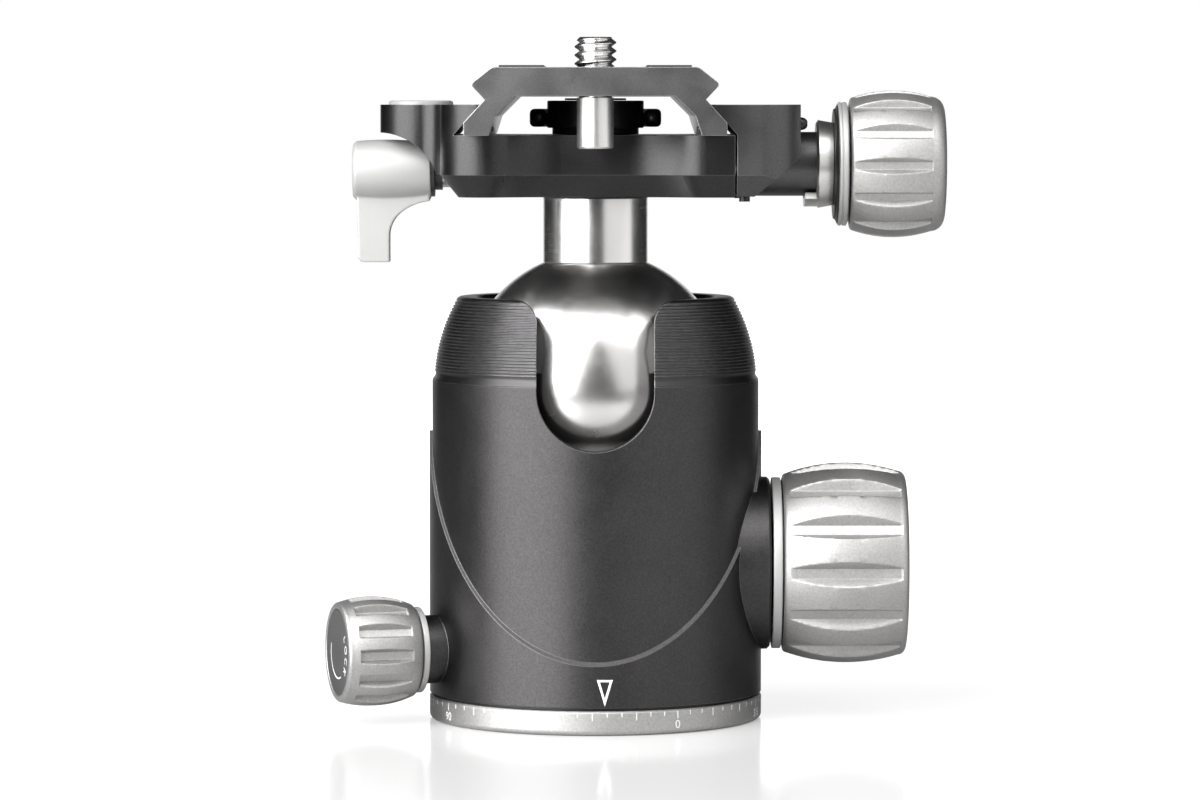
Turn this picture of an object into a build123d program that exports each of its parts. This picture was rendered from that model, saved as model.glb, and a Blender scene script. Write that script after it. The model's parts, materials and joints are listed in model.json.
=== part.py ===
from build123d import *
import os
from math import atan2, cos, degrees, pi, radians, sin, sqrt, tan

# Tripod ball head with a panning base, a ball lock knob, a panning dovetail clamp and a quick plate.
# Millimetres. Origin: centre of the base's underside, on the tripod thread. +Z up, -Y is the drop notch side.

# ---- clearances ----
FIT = 0.05          # radial gap of parts that are pressed, glued or screwed together
RUN = 0.05          # radial gap of parts that turn or slide in each other
SEAT = 0.1          # gap round the ball and the pan hub, which is a grease film on the real head
SKIN = 0.02         # gap between two sliding wedge faces
FREE = 0.3          # gap between parts that only pass each other
OVER = 1.0          # how far a cutting tool runs past the face that it cuts

# ---- base ----
base_r = 25.0
base_t = 3.65
base_edge = 0.8
base_top_edge = 0.3
seam = 0.45         # dark line between the base and the housing
tripod_thread_r = 4.8
bush_r = 6.5
bush_flange_r = 9.0
bush_flange_t = 1.6
bush_len = 10.0
hub_r = 15.0
hub_top = 15.0
groove_z = 11.0     # height of the pan brake's groove and of the pan knob
groove_depth = 1.4
hub_screw_r = 1.5
hub_screw_head_r = 2.7
hub_screw_circle = 12.0
hub_screw_count = 3
hub_screw_top = 10.0
hub_screw_sink = 0.2
socket_depth = 1.0
hub_socket_r = 1.0
washer_inner_r = 15.6
washer_t = seam - RUN
washer_outer_r = 24.2

# ---- housing ----
skirt_r = 25.0      # lower, thicker skin
barrel_r = 24.55    # upper skin
skirt_low_z = 10.2  # the skirt's sloping edge at the front and back
skirt_peak_z = 43.3 # the same edge at the sides
skirt_edge = 0.3
housing_z0 = base_t + seam
housing_top = 51.0
housing_edge = 0.3
web_z = 15.2        # underside of the floor above the hub
seat_floor_z = 32.0 # floor of the ball's chamber
chamber_r = 21.05

# ---- ball and neck ----
ball_r = 20.0
ball_z = 50.2
neck_r = 7.85
neck_z0 = 68.6
neck_z1 = 78.6
neck_edge = 0.4
bolt_r = 3.0
bolt_depth = 11.0
bolt_head_r = 5.0
bolt_head_t = 2.0
bolt_socket_r = 2.3
bolt_socket_depth = 1.4

# ---- drop notch ----
notch_r = 8.65
notch_corner_r = 3.3

# ---- collar and upper seat ----
collar_top = 63.5
collar_rim_z = 63.3
collar_rim_r = 20.75
collar_rim_flat_r = 20.4
collar_mouth_r = 18.0
collar_throat_r = 17.45
collar_throat_z = 60.45
collar_foot_r = 24.2
collar_cove_z = 51.7
collar_foot_z = 52.3
collar_swell_r = 23.2
collar_swell_z = 57.7
collar_spigot_r = 22.5
collar_spigot_z = 46.0
seat_low_z = 53.0
seat_shoulder_z = 57.0
seat_top_z = 60.4
seat_top_r = 18.62

# ---- lower cup, plunger and wedge ----
cup_inner_r = 9.0
cup_top_z = 40.0
cup_outer_r = 20.8
plunger_r = 12.0
plunger_mouth_z = 23.3
wedge_r = 6.5
wedge_start = -10.0
wedge_end = 12.0
wedge_ramp_z = 27.6     # height of the ramp on the ball's axis
wedge_angle = 12.0
lock_z = 23.3
lock_pitch = 1.25       # travel of the lock screw for one turn

# ---- main lock knob ----
lock_boss_r = 13.0
lock_boss_x = 26.2
lock_boss_edge = 0.4
lock_screw_r = 4.0
lock_bush_start = 14.0
lock_bush_end = 25.7
lock_ring_r = 12.9
lock_ring_x0 = 26.5
lock_ring_x1 = 27.85
lock_knob_x0 = 28.1
lock_knob_x1 = 46.65
lock_knob_r0 = 13.3
lock_knob_r = 15.1
lock_knob_r1 = 13.8
lock_knob_crown_x = 37.0
lock_knob_edge = 1.1
lock_flutes = 13
lock_flute_floor_r = 13.6
lock_flute_floor_w = 1.5
lock_flute_top_w = 3.7
lock_flute_x0 = 28.9
lock_flute_x1 = 45.5
lock_cap_r = 10.4
lock_cap_t = 0.9
lock_screw_x1 = 40.3
lock_bolt_r = 2.0
lock_bolt_head_r = 3.5
lock_bolt_head_t = 2.2
lock_bolt_grip = 2.0
lock_bolt_len = 7.0

# ---- pan lock knob ----
pan_angle = 17.5        # how far the pan knob is turned from -X towards the front
pan_boss_r = 5.1
pan_boss_end = 27.45
pan_screw_r = 3.0
pan_shoe_end = 18.0
pan_shoe_face = 15.1
pan_pitch = 1.0
pan_ring_r = 6.4
pan_ring_start = 27.6
pan_ring_end = 28.5
pan_knob_start = 28.75
pan_knob_end = 40.3
pan_knob_r0 = 6.9
pan_knob_r = 8.15
pan_knob_r1 = 7.5
pan_knob_crown = 34.3
pan_knob_edge = 0.6
pan_flutes = 13
pan_flute_floor_r = 7.0
pan_flute_floor_w = 0.9
pan_flute_top_w = 2.1
pan_flute_start = 29.4
pan_flute_end = 39.5
pan_cap_r = 6.4
pan_cap_t = 0.8
pan_screw_end = 37.0
retaining_screw_angles = (50.0, 100.0)
retaining_screw_r = 2.0
retaining_tip = 13.9
retaining_end = 23.4

# ---- upper pan disc ----
disc_r = 6.8
disc_top = 84.3
disc_groove_depth = 0.9
clamp_web_t = 1.0

# ---- clamp ----
clamp_z0 = 78.65
channel_z = 87.8        # floor that the plate lies on
jaw_top = 92.3
clamp_left = -22.9
clamp_right = 20.45
clamp_half = 21.0       # half of the clamp's length
clamp_chamfer_in = 2.7
clamp_chamfer_up = 3.3
clamp_corner_r = 6.5
recess_wall_y = 17.35   # the shallow recess for the stop pin, front and back
recess_half = 9.2
recess_mouth_half = 14.2
recess_root_r = 12.5
shoulder_r = 6.0
lip_edge = 0.4
ear_x = -26.2
ear_r = 6.1
ear_root_r = 3.0
ear_z0 = 81.95
ear_arc_x = -32.4
ear_arc_z = 78.9
ear_arc_r = 9.2
hub_clearance_r = 5.1

# ---- bubble level ----
level_r = 4.85
level_floor_z = 89.3
level_wall = 0.8
level_floor_t = 0.5
level_fluid_top = 91.6
level_lens_top = 92.9
level_bubble_r = 1.4
level_bubble_t = 0.5

# ---- clamp pan lock lever ----
lever_z = 82.4
lever_screw_r = 2.5
lever_pitch = 0.8
clamp_shoe_end = 12.9
clamp_shoe_face = 7.2
lever_hub_start = 24.65
lever_hub_end = 36.4
lever_hub_r0 = 4.2
lever_hub_r = 4.65
lever_hub_r1 = 4.45
lever_hub_crown = 31.5
lever_hub_edge = 0.5
lever_screw_end = 34.0
lever_washer_r = 3.9
lever_washer_start = 24.1
lever_spacer_r = 2.9
blade_half_t = 2.3
blade_out_x = 35.6
blade_in_x = 30.9
blade_tip_z = 68.7
blade_tip_r = 0.9
blade_neck_z = 72.6
blade_sweep_x = 29.2
blade_sweep_z = 76.1
blade_root_x = 24.9
blade_root_z = 77.85

# ---- moving jaw ----
jaw_left = 20.75
jaw_right = 30.25
jaw_bottom = 78.8
jaw_slope_x = 23.35
jaw_slope_z = 84.7
jaw_corner_r = 6.0
jaw_screw_z = 83.4
jaw_boss_r = 4.8
jaw_boss_x0 = 22.0
jaw_boss_x1 = 33.1
clamp_screw_r = 3.0
clamp_screw_x0 = 10.2
jaw_travel = 4.0
guide_y = 14.0
guide_r = 1.5
guide_x0 = 12.0
guide_x1 = 27.0
set_screw_x = 22.0
set_screw_r = 0.8
set_screw_z0 = 78.0
set_screw_z1 = 81.85
cover_screw_y = 7.0
cover_screw_z = 89.45
cover_screw_head_r = 0.95
cover_screw_head_t = 1.1
cover_screw_dome = 0.6
cover_screw_r = 0.6
cover_screw_depth = 4.0
spring_wire_r = 0.28   # half the side of its square wire
spring_r = 3.4
spring_pitch = 1.5
spring_x0 = 15.0
spring_x1 = 20.3

# ---- clamp knob ----
flange_x1 = 35.6
flange_r0 = 6.2
flange_r1 = 6.6
flange_tab_r = 6.4
flange_tab_x0 = 31.3
flange_tab_t = 1.2
flange_tab_angle = 36.0
clamp_ring_x0 = 35.7
clamp_ring_x1 = 37.85
clamp_ring_r0 = 8.6
clamp_ring_r = 9.3
clamp_knob_x0 = 38.1
clamp_knob_x1 = 52.3
clamp_knob_r0 = 9.9
clamp_knob_r = 11.0
clamp_knob_r1 = 10.0
clamp_knob_crown_x = 45.1
clamp_knob_edge = 1.9
grip_lead = 0.55
clamp_flutes = 13
clamp_flute_floor_r = 9.75
clamp_flute_floor_w = 1.3
clamp_flute_top_w = 3.1
clamp_flute_x0 = 38.5
clamp_flute_x1 = 50.1
clamp_cap_r = 7.6
clamp_cap_t = 0.9
clamp_screw_x1 = 46.3
clamp_bolt_r = 1.5
clamp_bolt_head_r = 2.75
clamp_bolt_head_t = 2.0
clamp_bolt_grip = 2.0
clamp_bolt_len = 6.0

# ---- quick plate (heights above its own underside) ----
plate_half_len = 30.0
plate_h = 9.9
plate_half_w = 19.05
plate_foot_h = 1.85
plate_waist_x = 16.0
plate_waist_h = 5.2
plate_ear_x = 18.05
plate_ear_h = 7.4
plate_ear_r = 0.5
plate_top_x = 14.9
plate_top_edge = 1.5
plate_leg_x = 15.4
plate_knee_x = 14.5
plate_knee_h = 2.8
plate_web_x = 11.6
plate_web_h = 5.7
pad_x0 = 7.5
pad_x1 = 14.0
pad_half_len = 26.0
pad_depth = 0.5
pad_proud = 0.3
stop_pin_r = 2.65
stop_pin_y = 26.5
stop_pin_z0 = 85.9
stop_pin_stem_r = 1.5
stop_pin_stem_len = 3.0

# ---- camera screw ----
camera_thread_r = 3.175
camera_neck_r = 2.5     # undercut that the clip sits in
camera_thread_proud = 4.7
screw_foot_r = 6.5
screw_foot_t = 0.95
screw_head_r = 7.25
screw_head_top = 92.9
screw_foot_z = channel_z + RUN
ring_r = 9.9
ring_gap = 0.15
ring_z0 = 88.9
ring_z1 = 91.7
ring_front = -2.0
ring_pivot_r = 0.8
ring_pivot_depth = 1.6
clip_r = 4.6
clip_t = 0.3

# ---- values that follow ----
X_OUT = Vector(1, 0, 0)
LEVER_OUT = Vector(-1, 0, 0)
PAN_OUT = Vector(-cos(radians(pan_angle)), -sin(radians(pan_angle)), 0)
plate_z0 = channel_z + SKIN
plate_z1 = plate_z0 + plate_h
flank_lean = (plate_half_w - plate_waist_x) / (plate_waist_h - plate_foot_h)
flank_gap = RUN * sqrt(1 + flank_lean**2)
ramp_rise = tan(radians(wedge_angle))


def lip_x(height):
    """Half width of the dovetail channel at a height: the plate's flank and a running gap."""
    return plate_half_w + flank_gap - flank_lean * (height - plate_z0 - plate_foot_h)


def axial_plane(direction, height):
    """Plane through a level axis: local x runs out along it, local y is up."""
    return Plane(origin=(0, 0, height), x_dir=direction, z_dir=direction.cross(Vector(0, 0, 1)))


def cross_plane(direction, height, distance):
    """Plane square to a level axis, at a distance out along it: local x is up."""
    return Plane(origin=direction * distance + Vector(0, 0, height), x_dir=(0, 0, 1), z_dir=direction)


def turning_axis(direction, height):
    return Axis((0, 0, height), direction)


def chord_z(radius, reach):
    """Height of the lower half of a sphere about the ball's centre, at a distance from the axis."""
    return ball_z - sqrt(radius**2 - reach**2)


def chord_r(radius, height):
    """Radius of a sphere about the ball's centre at a height."""
    return sqrt(radius**2 - (height - ball_z) ** 2)


def turned_ring(direction, height, outer_r, inner_r, start, end):
    """Plain ring or disc round a level axis."""
    with BuildPart() as ring:
        with BuildSketch(cross_plane(direction, height, start)):
            Circle(outer_r)
            if inner_r:
                Circle(inner_r, mode=Mode.SUBTRACT)
        extrude(amount=end - start)
    return ring


def turned_pin(direction, height, radius, start, end, edge, blind_r=0.0, blind_len=0.0):
    """Round shaft with a chamfer at each end and, if asked, a blind hole in its outer end."""
    with BuildPart() as pin:
        with BuildSketch(axial_plane(direction, height)):
            with BuildLine():
                Polyline(
                    (start, 0), (start, radius - edge), (start + edge, radius), (end - edge, radius),
                    (end, radius - edge), (end, 0), close=True,
                )
            make_face()
        revolve(axis=turning_axis(direction, height))
        if blind_r:
            with BuildSketch(cross_plane(direction, height, end - blind_len)):
                Circle(blind_r)
            extrude(amount=blind_len + OVER, mode=Mode.SUBTRACT)
    return pin


def fluted_grip(direction, height, body, flute, bore_r, bore_end, cap_r, cap_t, bolt=None):
    """Crowned knob with trapezoid flutes, a shaft bore from inside and a recess for its end cap."""
    start, end, r0, r_max, r1, crown, edge = body
    count, floor_r, floor_w, top_w, flute_start, flute_end = flute
    crown_run = end - edge
    lead = min(edge / 2, grip_lead)
    with BuildPart() as grip:
        with BuildSketch(axial_plane(direction, height)):
            with BuildLine():
                Polyline((start, 0), (start, r0 - lead), (start + lead, r0))
                ThreePointArc((start + lead, r0), (crown, r_max), (crown_run, r1))
                TangentArc((crown_run, r1), (end, r1 - edge), tangent=(1, -0.1))
                Polyline((end, r1 - edge), (end, 0), (start, 0))
            make_face()
        revolve(axis=turning_axis(direction, height))
        slope = (top_w - floor_w) / 2 / (r_max - floor_r)
        reach = r_max + OVER
        outer_w = floor_w / 2 + slope * (reach - floor_r)
        with BuildSketch(cross_plane(direction, height, flute_start)):
            with PolarLocations(0, count):
                Polygon(
                    (floor_r, -floor_w / 2), (reach, -outer_w), (reach, outer_w), (floor_r, floor_w / 2),
                    align=None,
                )
        extrude(amount=flute_end - flute_start, mode=Mode.SUBTRACT)
        with BuildSketch(cross_plane(direction, height, start)):
            Circle(bore_r)
        extrude(amount=bore_end - start, mode=Mode.SUBTRACT)
        with BuildSketch(cross_plane(direction, height, end - cap_t)):
            Circle(cap_r + FIT)
        extrude(amount=cap_t, mode=Mode.SUBTRACT)
        if bolt:
            hole_r, head_r, grip_t = bolt
            with BuildSketch(cross_plane(direction, height, bore_end)):
                Circle(hole_r + FIT)
            extrude(amount=end - bore_end, mode=Mode.SUBTRACT)
            with BuildSketch(cross_plane(direction, height, bore_end + grip_t)):
                Circle(head_r + FIT)
            extrude(amount=end - bore_end - grip_t, mode=Mode.SUBTRACT)
    return grip


def end_bolt(direction, height, radius, head_r, head_t, seat, length):
    """Socket-head bolt that pulls a grip onto its shaft: the head's underside is at seat."""
    with BuildPart() as bolt:
        with BuildSketch(cross_plane(direction, height, seat - length)):
            Circle(radius)
        extrude(amount=length)
        with BuildSketch(cross_plane(direction, height, seat)):
            Circle(head_r)
        extrude(amount=head_t)
        with BuildSketch(cross_plane(direction, height, seat + head_t / 2)):
            RegularPolygon(head_r / 2, 6)
        extrude(amount=head_t / 2, mode=Mode.SUBTRACT)
    return bolt


def save(builder, name):
    builder.part.label = name
    export_step(builder.part, f"parts/{name}.step")


os.makedirs("parts", exist_ok=True)

# ======== base: the body that bolts to the tripod ========

with BuildPart() as base_ring:
    with BuildSketch(Plane.XZ):
        with BuildLine():
            Polyline(
                (bush_r + FIT, base_t), (bush_r + FIT, bush_flange_t), (bush_flange_r + FIT, bush_flange_t),
                (bush_flange_r + FIT, 0), (base_r - base_edge, 0),
            )
            RadiusArc((base_r - base_edge, 0), (base_r, base_edge), -base_edge)
            Polyline(
                (base_r, base_edge), (base_r, base_t - base_top_edge), (base_r - base_top_edge, base_t),
                (bush_r + FIT, base_t),
            )
        make_face()
    revolve(axis=Axis.Z)
    with BuildSketch(Plane.XY):
        with PolarLocations(hub_screw_circle, hub_screw_count):
            Circle(hub_screw_r + FIT)
    extrude(amount=base_t, mode=Mode.SUBTRACT)
    sink = hub_screw_head_r - hub_screw_r + hub_screw_sink
    with BuildSketch(Plane.XY):
        with PolarLocations(hub_screw_circle, hub_screw_count):
            Circle(hub_screw_r + FIT + sink)
    extrude(amount=sink, taper=45, mode=Mode.SUBTRACT)

with BuildPart() as tripod_bush:
    with BuildSketch(Plane.XY):
        Circle(bush_flange_r)
        Circle(tripod_thread_r, mode=Mode.SUBTRACT)
    extrude(amount=bush_flange_t)
    with BuildSketch(Plane.XY):
        Circle(bush_r)
        Circle(tripod_thread_r, mode=Mode.SUBTRACT)
    extrude(amount=bush_len)

with BuildPart() as pan_hub:
    with BuildSketch(Plane.XZ):
        with BuildLine():
            Polyline(
                (bush_r + FIT, base_t), (hub_r, base_t), (hub_r, groove_z - groove_depth),
                (hub_r - groove_depth, groove_z), (hub_r, groove_z + groove_depth), (hub_r, hub_top),
                (0, hub_top), (0, bush_len + FREE), (bush_r + FIT, bush_len + FREE), close=True,
            )
        make_face()
    revolve(axis=Axis.Z)
    with BuildSketch(Plane.XY.offset(base_t)):
        with PolarLocations(hub_screw_circle, hub_screw_count):
            Circle(hub_screw_r + FIT)
    extrude(amount=hub_screw_top + FREE - base_t, mode=Mode.SUBTRACT)

with BuildPart() as hub_screws:
    head_h = hub_screw_head_r - hub_screw_r
    with BuildSketch(Plane.XY.offset(hub_screw_sink)):
        with PolarLocations(hub_screw_circle, hub_screw_count):
            Circle(hub_screw_r)
    extrude(amount=hub_screw_top - hub_screw_sink)
    with BuildSketch(Plane.XY.offset(hub_screw_sink)):
        with PolarLocations(hub_screw_circle, hub_screw_count):
            Circle(hub_screw_head_r)
    extrude(amount=head_h - RUN, taper=45)
    with BuildSketch(Plane.XY.offset(hub_screw_sink)):
        with PolarLocations(hub_screw_circle, hub_screw_count):
            RegularPolygon(hub_socket_r, 6)
    extrude(amount=socket_depth, mode=Mode.SUBTRACT)

with BuildPart() as slip_washer:
    with BuildSketch(Plane.XY.offset(base_t)):
        Circle(washer_outer_r)
        Circle(washer_inner_r, mode=Mode.SUBTRACT)
    extrude(amount=washer_t)

# ======== housing ========

with BuildPart() as housing:
    # lower skin: a cylinder under two planes that rise from the front and back to the sides
    slope = (skirt_peak_z - skirt_low_z) / skirt_r
    eave = skirt_low_z - slope * OVER
    with BuildSketch(Plane.YZ.offset(-skirt_r - OVER)):
        Polygon(
            (-skirt_r - OVER, housing_z0), (-skirt_r - OVER, eave), (0, skirt_peak_z),
            (skirt_r + OVER, eave), (skirt_r + OVER, housing_z0), align=None,
        )
    extrude(amount=2 * (skirt_r + OVER))
    with BuildSketch(Plane.XY.offset(housing_z0)):
        Circle(skirt_r)
    extrude(amount=skirt_peak_z - housing_z0, mode=Mode.INTERSECT)
    with BuildSketch(Plane.XY.offset(housing_z0)):
        Circle(barrel_r)
    extrude(amount=housing_top - housing_z0)
    # bosses for the two knobs
    with BuildSketch(cross_plane(X_OUT, lock_z, 0)):
        Circle(lock_boss_r)
    extrude(amount=lock_boss_x)
    chamfer(housing.faces().sort_by(Axis.X)[-1].edges(), lock_boss_edge)
    with BuildSketch(cross_plane(PAN_OUT, groove_z, hub_r + OVER)):
        Circle(pan_boss_r)
    extrude(amount=pan_boss_end - hub_r - OVER)
    # hub chamber from below, ball chamber from above
    with BuildSketch(Plane.XY.offset(housing_z0)):
        Circle(hub_r + SEAT)
    extrude(amount=web_z - housing_z0, mode=Mode.SUBTRACT)
    with BuildSketch(Plane.XY.offset(seat_floor_z)):
        Circle(chamber_r)
    extrude(amount=housing_top - seat_floor_z, mode=Mode.SUBTRACT)
    with BuildSketch(Plane.XY.offset(collar_spigot_z)):
        Circle(collar_spigot_r + FIT)
    extrude(amount=housing_top - collar_spigot_z, mode=Mode.SUBTRACT)
    with BuildSketch(Plane.XY.offset(plunger_mouth_z)):
        Circle(plunger_r + RUN)
    extrude(amount=seat_floor_z - plunger_mouth_z, mode=Mode.SUBTRACT)
    # wedge bore from the boss inwards
    with BuildSketch(cross_plane(X_OUT, lock_z, wedge_start - FREE)):
        Circle(wedge_r + RUN)
    extrude(amount=lock_boss_x - wedge_start + FREE, mode=Mode.SUBTRACT)
    # pan screw bore and the two retaining screws at the back
    with BuildSketch(cross_plane(PAN_OUT, groove_z, hub_r - OVER)):
        Circle(pan_screw_r + RUN)
    extrude(amount=pan_boss_end - hub_r + OVER, mode=Mode.SUBTRACT)
    for turn in retaining_screw_angles:
        outward = Vector(cos(radians(turn)), sin(radians(turn)), 0)
        with BuildSketch(cross_plane(outward, groove_z, hub_r - OVER)):
            Circle(retaining_screw_r + FIT)
        extrude(amount=skirt_r - hub_r + 2 * OVER, mode=Mode.SUBTRACT)
    # drop notch
    with BuildSketch(Plane.XZ):
        with Locations((0, ball_z)):
            Circle(notch_r)
        with Locations((0, housing_top)):
            Rectangle(2 * notch_r, 2 * (housing_top - ball_z))
    extrude(amount=skirt_r + OVER, mode=Mode.SUBTRACT)

with BuildPart() as lock_bush:
    with BuildSketch(cross_plane(X_OUT, lock_z, lock_bush_start)):
        Circle(wedge_r)
        Circle(lock_screw_r + RUN, mode=Mode.SUBTRACT)
    extrude(amount=lock_bush_end - lock_bush_start)

with BuildPart() as retaining_screws:
    for turn in retaining_screw_angles:
        outward = Vector(cos(radians(turn)), sin(radians(turn)), 0)
        cone = hub_r + SEAT - retaining_tip
        tip_r = retaining_tip - (hub_r - groove_depth) - RUN
        with BuildSketch(axial_plane(outward, groove_z)):
            with BuildLine():
                Polyline(
                    (retaining_tip, 0), (retaining_tip, tip_r), (hub_r + SEAT, tip_r + cone),
                    (hub_r + SEAT, retaining_screw_r), (retaining_end, retaining_screw_r),
                    (retaining_end, 0), close=True,
                )
            make_face()
        revolve(axis=turning_axis(outward, groove_z))
        with BuildSketch(cross_plane(outward, groove_z, retaining_end - socket_depth)):
            RegularPolygon(hub_socket_r, 6)
        extrude(amount=socket_depth, mode=Mode.SUBTRACT)

with BuildPart() as collar:
    with BuildSketch(Plane.XZ):
        with BuildLine():
            Polyline(
                (chamber_r, collar_spigot_z), (collar_spigot_r, collar_spigot_z),
                (collar_spigot_r, housing_top), (barrel_r, housing_top), (collar_foot_r, collar_cove_z),
                (collar_foot_r, collar_foot_z),
            )
            ThreePointArc(
                (collar_foot_r, collar_foot_z), (collar_swell_r, collar_swell_z),
                (collar_rim_r, collar_rim_z),
            )
            Polyline(
                (collar_rim_r, collar_rim_z), (collar_rim_flat_r, collar_top), (collar_mouth_r, collar_top),
                (collar_throat_r, collar_throat_z), (seat_top_r + FIT, collar_throat_z),
                (chamber_r, seat_shoulder_z + SKIN), (chamber_r, collar_spigot_z),
            )
        make_face()
    revolve(axis=Axis.Z)
    with BuildSketch(Plane.XZ):
        with BuildLine():
            CenterArc((0, ball_z), notch_r, 180, 180)
            Line((notch_r, ball_z), (notch_r, collar_top - notch_corner_r))
            CenterArc((notch_r + notch_corner_r, collar_top - notch_corner_r), notch_corner_r, 180, -90)
            Polyline(
                (notch_r + notch_corner_r, collar_top), (notch_r + notch_corner_r, collar_top + OVER),
                (-notch_r - notch_corner_r, collar_top + OVER), (-notch_r - notch_corner_r, collar_top),
            )
            CenterArc((-notch_r - notch_corner_r, collar_top - notch_corner_r), notch_corner_r, 90, -90)
            Line((-notch_r, collar_top - notch_corner_r), (-notch_r, ball_z))
        make_face()
    extrude(amount=skirt_r + OVER, mode=Mode.SUBTRACT)

with BuildPart() as upper_seat:
    seat_sphere = ball_r + SEAT
    outer_r = chamber_r - FIT
    seat_mid_z = (seat_low_z + seat_top_z) / 2
    with BuildSketch(Plane.XZ):
        with BuildLine():
            Polyline(
                (chord_r(seat_sphere, seat_top_z), seat_top_z), (seat_top_r, seat_top_z),
                (outer_r, seat_shoulder_z), (outer_r, seat_low_z), (chord_r(seat_sphere, seat_low_z), seat_low_z),
            )
            ThreePointArc(
                (chord_r(seat_sphere, seat_low_z), seat_low_z), (chord_r(seat_sphere, seat_mid_z), seat_mid_z),
                (chord_r(seat_sphere, seat_top_z), seat_top_z),
            )
        make_face()
    revolve(axis=Axis.Z)
    with BuildSketch(Plane.XZ):
        with Locations((0, ball_z)):
            Rectangle(2 * notch_r + FREE, 2 * (collar_top - ball_z))
    extrude(amount=skirt_r, mode=Mode.SUBTRACT)

# ======== lower cup, plunger and wedge ========

with BuildPart() as ball_cup:
    cup_sphere = ball_r + SEAT
    cup_rim_r = chord_r(cup_sphere, cup_top_z)
    cup_lip_z = chord_z(cup_sphere, cup_inner_r)
    cup_mid_r = (cup_inner_r + cup_rim_r) / 2
    with BuildSketch(Plane.XZ):
        with BuildLine():
            ThreePointArc(
                (cup_inner_r, cup_lip_z), (cup_mid_r, chord_z(cup_sphere, cup_mid_r)), (cup_rim_r, cup_top_z),
            )
            Polyline(
                (cup_rim_r, cup_top_z), (cup_outer_r, cup_top_z), (cup_outer_r, seat_floor_z + FREE),
                (plunger_r - OVER, seat_floor_z + FREE), (plunger_r - OVER, seat_floor_z),
                (cup_inner_r, seat_floor_z), (cup_inner_r, cup_lip_z),
            )
        make_face()
    revolve(axis=Axis.Z)

with BuildPart() as lift_plunger:
    dish = ball_r + FREE
    with BuildSketch(Plane.XY.offset(plunger_mouth_z)):
        Circle(plunger_r)
    extrude(amount=seat_floor_z - plunger_mouth_z)
    with BuildSketch(Plane.XZ.offset(-plunger_r - OVER)):
        low = wedge_ramp_z + SKIN - ramp_rise * (plunger_r + OVER)
        high = wedge_ramp_z + SKIN + ramp_rise * (plunger_r + OVER)
        Polygon(
            (-plunger_r - OVER, plunger_mouth_z - OVER), (-plunger_r - OVER, low),
            (plunger_r + OVER, high), (plunger_r + OVER, plunger_mouth_z - OVER), align=None,
        )
    extrude(amount=2 * (plunger_r + OVER), mode=Mode.SUBTRACT)
    with Locations((0, 0, ball_z)):
        Sphere(dish, mode=Mode.SUBTRACT)

with BuildPart() as lock_wedge:
    with BuildSketch(cross_plane(X_OUT, lock_z, wedge_start)):
        Circle(wedge_r)
    extrude(amount=wedge_end - wedge_start)
    with BuildSketch(Plane.XZ.offset(-wedge_r - OVER)):
        tail = wedge_start - OVER
        Polygon(
            (tail, wedge_ramp_z + ramp_rise * tail),
            (wedge_end + OVER, wedge_ramp_z + ramp_rise * (wedge_end + OVER)),
            (wedge_end + OVER, lock_z + wedge_r + OVER), (tail, lock_z + wedge_r + OVER), align=None,
        )
    extrude(amount=2 * (wedge_r + OVER), mode=Mode.SUBTRACT)

# ======== main lock knob ========

lock_screw = turned_pin(
    X_OUT, lock_z, lock_screw_r, wedge_end, lock_screw_x1, lock_boss_edge, lock_bolt_r + FIT, lock_bolt_len,
)
lock_knob_ring = turned_ring(X_OUT, lock_z, lock_ring_r, lock_screw_r + FIT, lock_ring_x0, lock_ring_x1)
lock_knob = fluted_grip(
    X_OUT, lock_z,
    (lock_knob_x0, lock_knob_x1, lock_knob_r0, lock_knob_r, lock_knob_r1, lock_knob_crown_x, lock_knob_edge),
    (lock_flutes, lock_flute_floor_r, lock_flute_floor_w, lock_flute_top_w, lock_flute_x0, lock_flute_x1),
    lock_screw_r + FIT, lock_screw_x1, lock_cap_r, lock_cap_t, (lock_bolt_r, lock_bolt_head_r, lock_bolt_grip),
)
lock_knob_bolt = end_bolt(
    X_OUT, lock_z, lock_bolt_r, lock_bolt_head_r, lock_bolt_head_t, lock_screw_x1 + lock_bolt_grip, lock_bolt_len,
)
lock_knob_cap = turned_ring(X_OUT, lock_z, lock_cap_r, 0, lock_knob_x1 - lock_cap_t, lock_knob_x1 - RUN)

# ======== pan brake and pan knob ========

with BuildPart() as pan_shoe:
    shoe_tip = hub_r - groove_depth + 2 * RUN
    tip_half = RUN
    with BuildSketch(axial_plane(PAN_OUT, groove_z)):
        with BuildLine():
            Polyline(
                (shoe_tip, 0), (shoe_tip, tip_half), (hub_r + RUN, tip_half + hub_r + RUN - shoe_tip),
                (pan_shoe_face, pan_screw_r), (pan_shoe_end, pan_screw_r), (pan_shoe_end, 0), close=True,
            )
        make_face()
    revolve(axis=turning_axis(PAN_OUT, groove_z))

pan_screw = turned_pin(PAN_OUT, groove_z, pan_screw_r, pan_shoe_end, pan_screw_end, lock_boss_edge)
pan_knob_ring = turned_ring(PAN_OUT, groove_z, pan_ring_r, pan_screw_r + FIT, pan_ring_start, pan_ring_end)
pan_knob = fluted_grip(
    PAN_OUT, groove_z,
    (pan_knob_start, pan_knob_end, pan_knob_r0, pan_knob_r, pan_knob_r1, pan_knob_crown, pan_knob_edge),
    (pan_flutes, pan_flute_floor_r, pan_flute_floor_w, pan_flute_top_w, pan_flute_start, pan_flute_end),
    pan_screw_r + FIT, pan_screw_end, pan_cap_r, pan_cap_t,
)
pan_knob_cap = turned_ring(
    PAN_OUT, groove_z, pan_cap_r, 0, pan_knob_end - pan_cap_t, pan_knob_end - RUN,
)

# ======== ball, neck and the disc that the clamp turns on ========

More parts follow.
